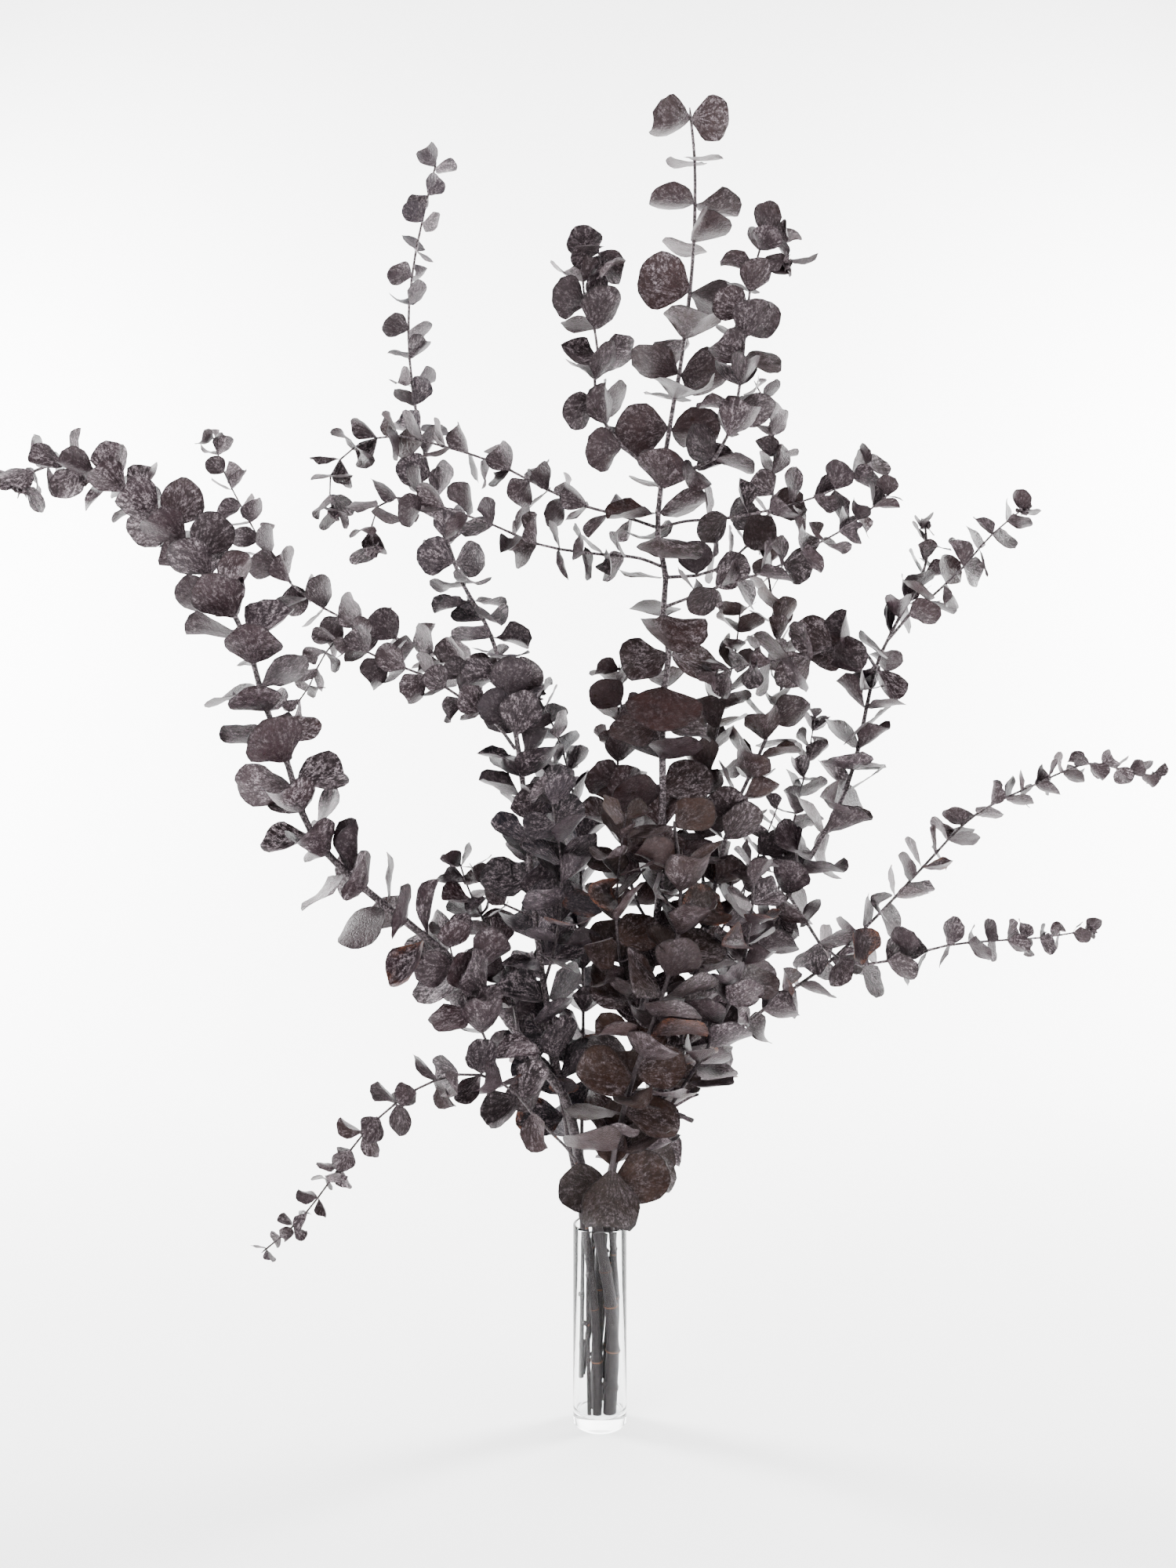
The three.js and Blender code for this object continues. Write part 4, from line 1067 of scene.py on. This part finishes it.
def dry_bark():
    """Dry bark of young eucalyptus: finely grained, darkened in the vase by painted shade, and above it with
    the pale flaking bloom that the leaves have too. Thin tan rings mark where leaves have dropped."""
    material, tree = new_material("dry_eucalyptus_bark")
    place = add(tree, "ShaderNodeTexCoord").outputs["Object"]
    height = add(tree, "ShaderNodeSeparateXYZ", {0: place}).outputs[2]
    scar = add(tree, "ShaderNodeAttribute", attribute_name="scar").outputs["Fac"]

    # Grain runs along the stems, which stand nearly upright where the bark shows most
    grain_space = add(tree, "ShaderNodeMapping", {0: place, "Scale": (1.0, 1.0, 0.22)})
    grain = add(tree, "ShaderNodeTexNoise", {
        "Vector": grain_space,
        "Scale": per_metre(BARK_GRAIN),
        "Detail": 4.0,
        "Roughness": 0.65,
    })
    flakes = add(tree, "ShaderNodeTexNoise", {
        "Vector": place,
        "Scale": per_metre(BARK_FLAKE),
        "Detail": 4.0,
        "Roughness": 0.65,
    })
    cloud = add(tree, "ShaderNodeTexNoise", {"Vector": place, "Scale": per_metre(BARK_CLOUD), "Detail": 2.0})
    # Painted shade makes the bark darker in the vase, and it fades out a little above the rim
    lowest, highest = VASE_SHADE_HEIGHTS
    unshaded_above_vase = add(tree, "ShaderNodeMapRange", {
        "Value": height,
        "From Min": lowest * MM,
        "From Max": highest * MM,
    })
    grained = add(tree, "ShaderNodeMapRange", {
        "Value": grain,
        "From Min": 0.4,
        "From Max": 0.65,
        "To Max": 0.22,
    })
    dust = bark_dust(tree, height, flakes, cloud)
    dusted = add(tree, "ShaderNodeMath", {0: dust, 1: 0.85}, operation="MULTIPLY")
    scarred = add(tree, "ShaderNodeMapRange", {"Value": scar, "From Min": 0.7, "To Max": 0.45})
    surface = BARK_PAINTED_SHADE_IN_VASE
    layers = (
        (unshaded_above_vase, BARK),
        (grained, UNDERSIDE),
        (dusted, BARK_BLOOM),
        (scarred, SCAR),
    )
    for share, colour in layers:
        surface = add(tree, "ShaderNodeMix", {0: share, 6: surface, 7: colour}, data_type="RGBA").outputs[2]
    raised = add(tree, "ShaderNodeMath", {0: flakes, 1: 0.6}, operation="MULTIPLY")
    relief = add(tree, "ShaderNodeMath", {0: grain, 1: raised}, operation="ADD")
    bump = add(tree, "ShaderNodeBump", {"Strength": 0.6, "Distance": 0.6 * MM, "Height": relief})
    skin = add(tree, "ShaderNodeBsdfPrincipled", {
        "Base Color": surface,
        "Roughness": 0.62,
        "Specular IOR Level": 0.25,
        "Normal": bump,
    })
    add(tree, "ShaderNodeOutputMaterial", {0: skin})
    return material


def drawn_glass():
    """Clear soda-lime glass, machine drawn with a fire-polished rim: smooth, colourless and bright."""
    material, tree = new_material("drawn_soda_lime_glass")
    place = add(tree, "ShaderNodeTexCoord").outputs["Object"]
    waves = add(tree, "ShaderNodeTexNoise", {"Vector": place, "Scale": per_metre(GLASS_WAVE)})
    bump = add(tree, "ShaderNodeBump", {"Strength": 0.06, "Distance": 0.6 * MM, "Height": waves})

    # Its IOR is matched, below the usual 1.52. A dark tint keeps the lamps' reflections off the stems
    glass = add(tree, "ShaderNodeBsdfPrincipled", {
        "Base Color": CLEAR_GLASS,
        "Roughness": 0.0,
        "IOR": 1.4,
        "Specular Tint": GLASS_GLINT,
        "Transmission Weight": 1.0,
        "Normal": bump,
    })

    # Light that falls on the stems inside passes straight through the glass
    clear = add(tree, "ShaderNodeBsdfTransparent", {"Color": GLASS_SHADOW})
    ray = add(tree, "ShaderNodeLightPath")
    lights_stems = add(tree, "ShaderNodeMath", {
        0: ray.outputs["Is Shadow Ray"],
        1: ray.outputs["Is Diffuse Ray"],
    }, operation="MAXIMUM")
    lit = add(tree, "ShaderNodeMixShader", {0: lights_stems, 1: glass, 2: clear})
    add(tree, "ShaderNodeOutputMaterial", {0: lit})
    return material


def white_paper():
    """Uncoated white background paper: matte and even."""
    material, tree = new_material("uncoated_white_paper")
    skin = add(tree, "ShaderNodeBsdfPrincipled", {"Base Color": PAPER, "Roughness": 0.95})
    add(tree, "ShaderNodeOutputMaterial", {0: skin})
    return material


def arc(middle, radius, start, end, steps):
    """Points of a profile arc, angles in degrees."""
    points = []
    for step in range(steps + 1):
        angle = math.radians(start + (end - start) * step / steps)
        points.append((middle[0] + radius * math.cos(angle), middle[1] + radius * math.sin(angle)))
    return points


def vase_profile():
    """Half the vase's section as radii and heights, from the underside's middle to the floor's."""
    inner = VASE_RADIUS - VASE_WALL
    rim = VASE_WALL / 2
    profile = list(VASE_UNDERSIDE)
    profile += arc((VASE_RADIUS - VASE_HEEL, VASE_HEEL), VASE_HEEL, -90, 0, 6)
    profile += arc((inner + rim, VASE_HEIGHT - rim), rim, 0, 180, 8)
    corner = VASE_INNER_CORNER
    profile += arc((inner - corner, VASE_FLOOR + corner), corner, 0, -90, 7)
    profile += [(radius, VASE_FLOOR + rise) for radius, rise in VASE_FLOOR_RISE]
    return profile


def glass_vase(material):
    """The cylinder: rounded heel, thick floor with a rounded inner corner, and a rounded rim."""
    shell = bmesh.new()
    rings = []
    for radius, height in vase_profile():
        if radius == 0:
            rings.append([shell.verts.new((0, 0, height * MM))])
            continue
        ring = []
        for side in range(VASE_SIDES):
            angle = 2 * math.pi * side / VASE_SIDES
            across = radius * MM * math.cos(angle)
            away = radius * MM * math.sin(angle)
            ring.append(shell.verts.new((across, away, height * MM)))
        rings.append(ring)
    for lower, upper in zip(rings, rings[1:]):
        for side in range(VASE_SIDES):
            after = (side + 1) % VASE_SIDES
            corners = [lower[side % len(lower)], lower[after % len(lower)],
                       upper[after % len(upper)], upper[side % len(upper)]]
            shell.faces.new(list(dict.fromkeys(corners)))
    bmesh.ops.recalc_face_normals(shell, faces=shell.faces)
    for face in shell.faces:
        face.smooth = True
    mesh = bpy.data.meshes.new("glass_cylinder")
    shell.to_mesh(mesh)
    shell.free()
    mesh.materials.append(material)
    vase = link_object("glass_cylinder", mesh)
    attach(vase, "root")
    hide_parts("glass_vase")


def add_floor():
    """A white floor that curves up behind the vase."""
    profile = [(FLOOR_FRONT, 0.0), (FLOOR_BACK - FLOOR_BEND, 0.0)]
    for step in range(1, FLOOR_BEND_STEPS + 1):
        angle = math.pi / 2 * step / FLOOR_BEND_STEPS
        away = FLOOR_BACK - FLOOR_BEND + FLOOR_BEND * math.sin(angle)
        profile.append((away, FLOOR_BEND - FLOOR_BEND * math.cos(angle)))
    profile.append((FLOOR_BACK, FLOOR_TOP))
    corners = [(x, y, z) for y, z in profile for x in (-FLOOR_HALF_WIDTH, FLOOR_HALF_WIDTH)]
    faces = [(2 * i, 2 * i + 1, 2 * i + 3, 2 * i + 2) for i in range(len(profile) - 1)]
    mesh = bpy.data.meshes.new("paper_floor")
    mesh.from_pydata(corners, [], faces)
    for face in mesh.polygons:
        face.use_smooth = True
    mesh.materials.append(white_paper())
    link_object("paper_floor", mesh)


def add_lamp(lamp):
    data = bpy.data.lights.new(lamp.name, "AREA")
    data.shape = "DISK"
    data.size = lamp.size
    data.energy = lamp.power
    holder = bpy.data.objects.new(lamp.name, data)
    holder.location = lamp.place
    aim = Vector(lamp.target) - Vector(lamp.place)
    holder.rotation_euler = aim.to_track_quat("-Z", "Y").to_euler()
    bpy.context.scene.collection.objects.link(holder)


def add_light():
    """Soft light from both sides and above, a bright white surround, and two lamps on the paper behind."""
    for lamp in LAMPS:
        add_lamp(lamp)
    world = bpy.data.worlds.new("white_surround")
    world.use_nodes = True
    background = world.node_tree.nodes["Background"]
    background.inputs["Color"].default_value = SURROUND
    background.inputs["Strength"].default_value = SURROUND_STRENGTH
    bpy.context.scene.world = world


def build_branches():
    """Every shoot of the CAD as one piece of leaves and one of bark."""
    shapes = blade_collection()
    leaf_tree, scale_socket = leaf_growth_tree(shapes, preserved_leaf())
    bark_tree, sides_socket = stem_tree(dry_bark())
    for name in sorted(frame["nodes"]):
        if name == "glass_vase":
            continue
        draw = random.Random(name)
        shoot = read_shoot(name)
        leaves = grow_leaves(shoot, leaf_tree, scale_socket, draw)
        stem = sweep_stem(shoot, bark_tree, sides_socket, draw)
        for piece, slot in ((leaves, "leaf"), (stem, "bark")):
            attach(piece, "root")
            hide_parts(name)
    for shape in list(shapes.objects):
        bpy.data.objects.remove(shape)
    bpy.data.collections.remove(shapes)


add_camera()
add_light()
add_floor()
build_branches()
glass_vase(drawn_glass())
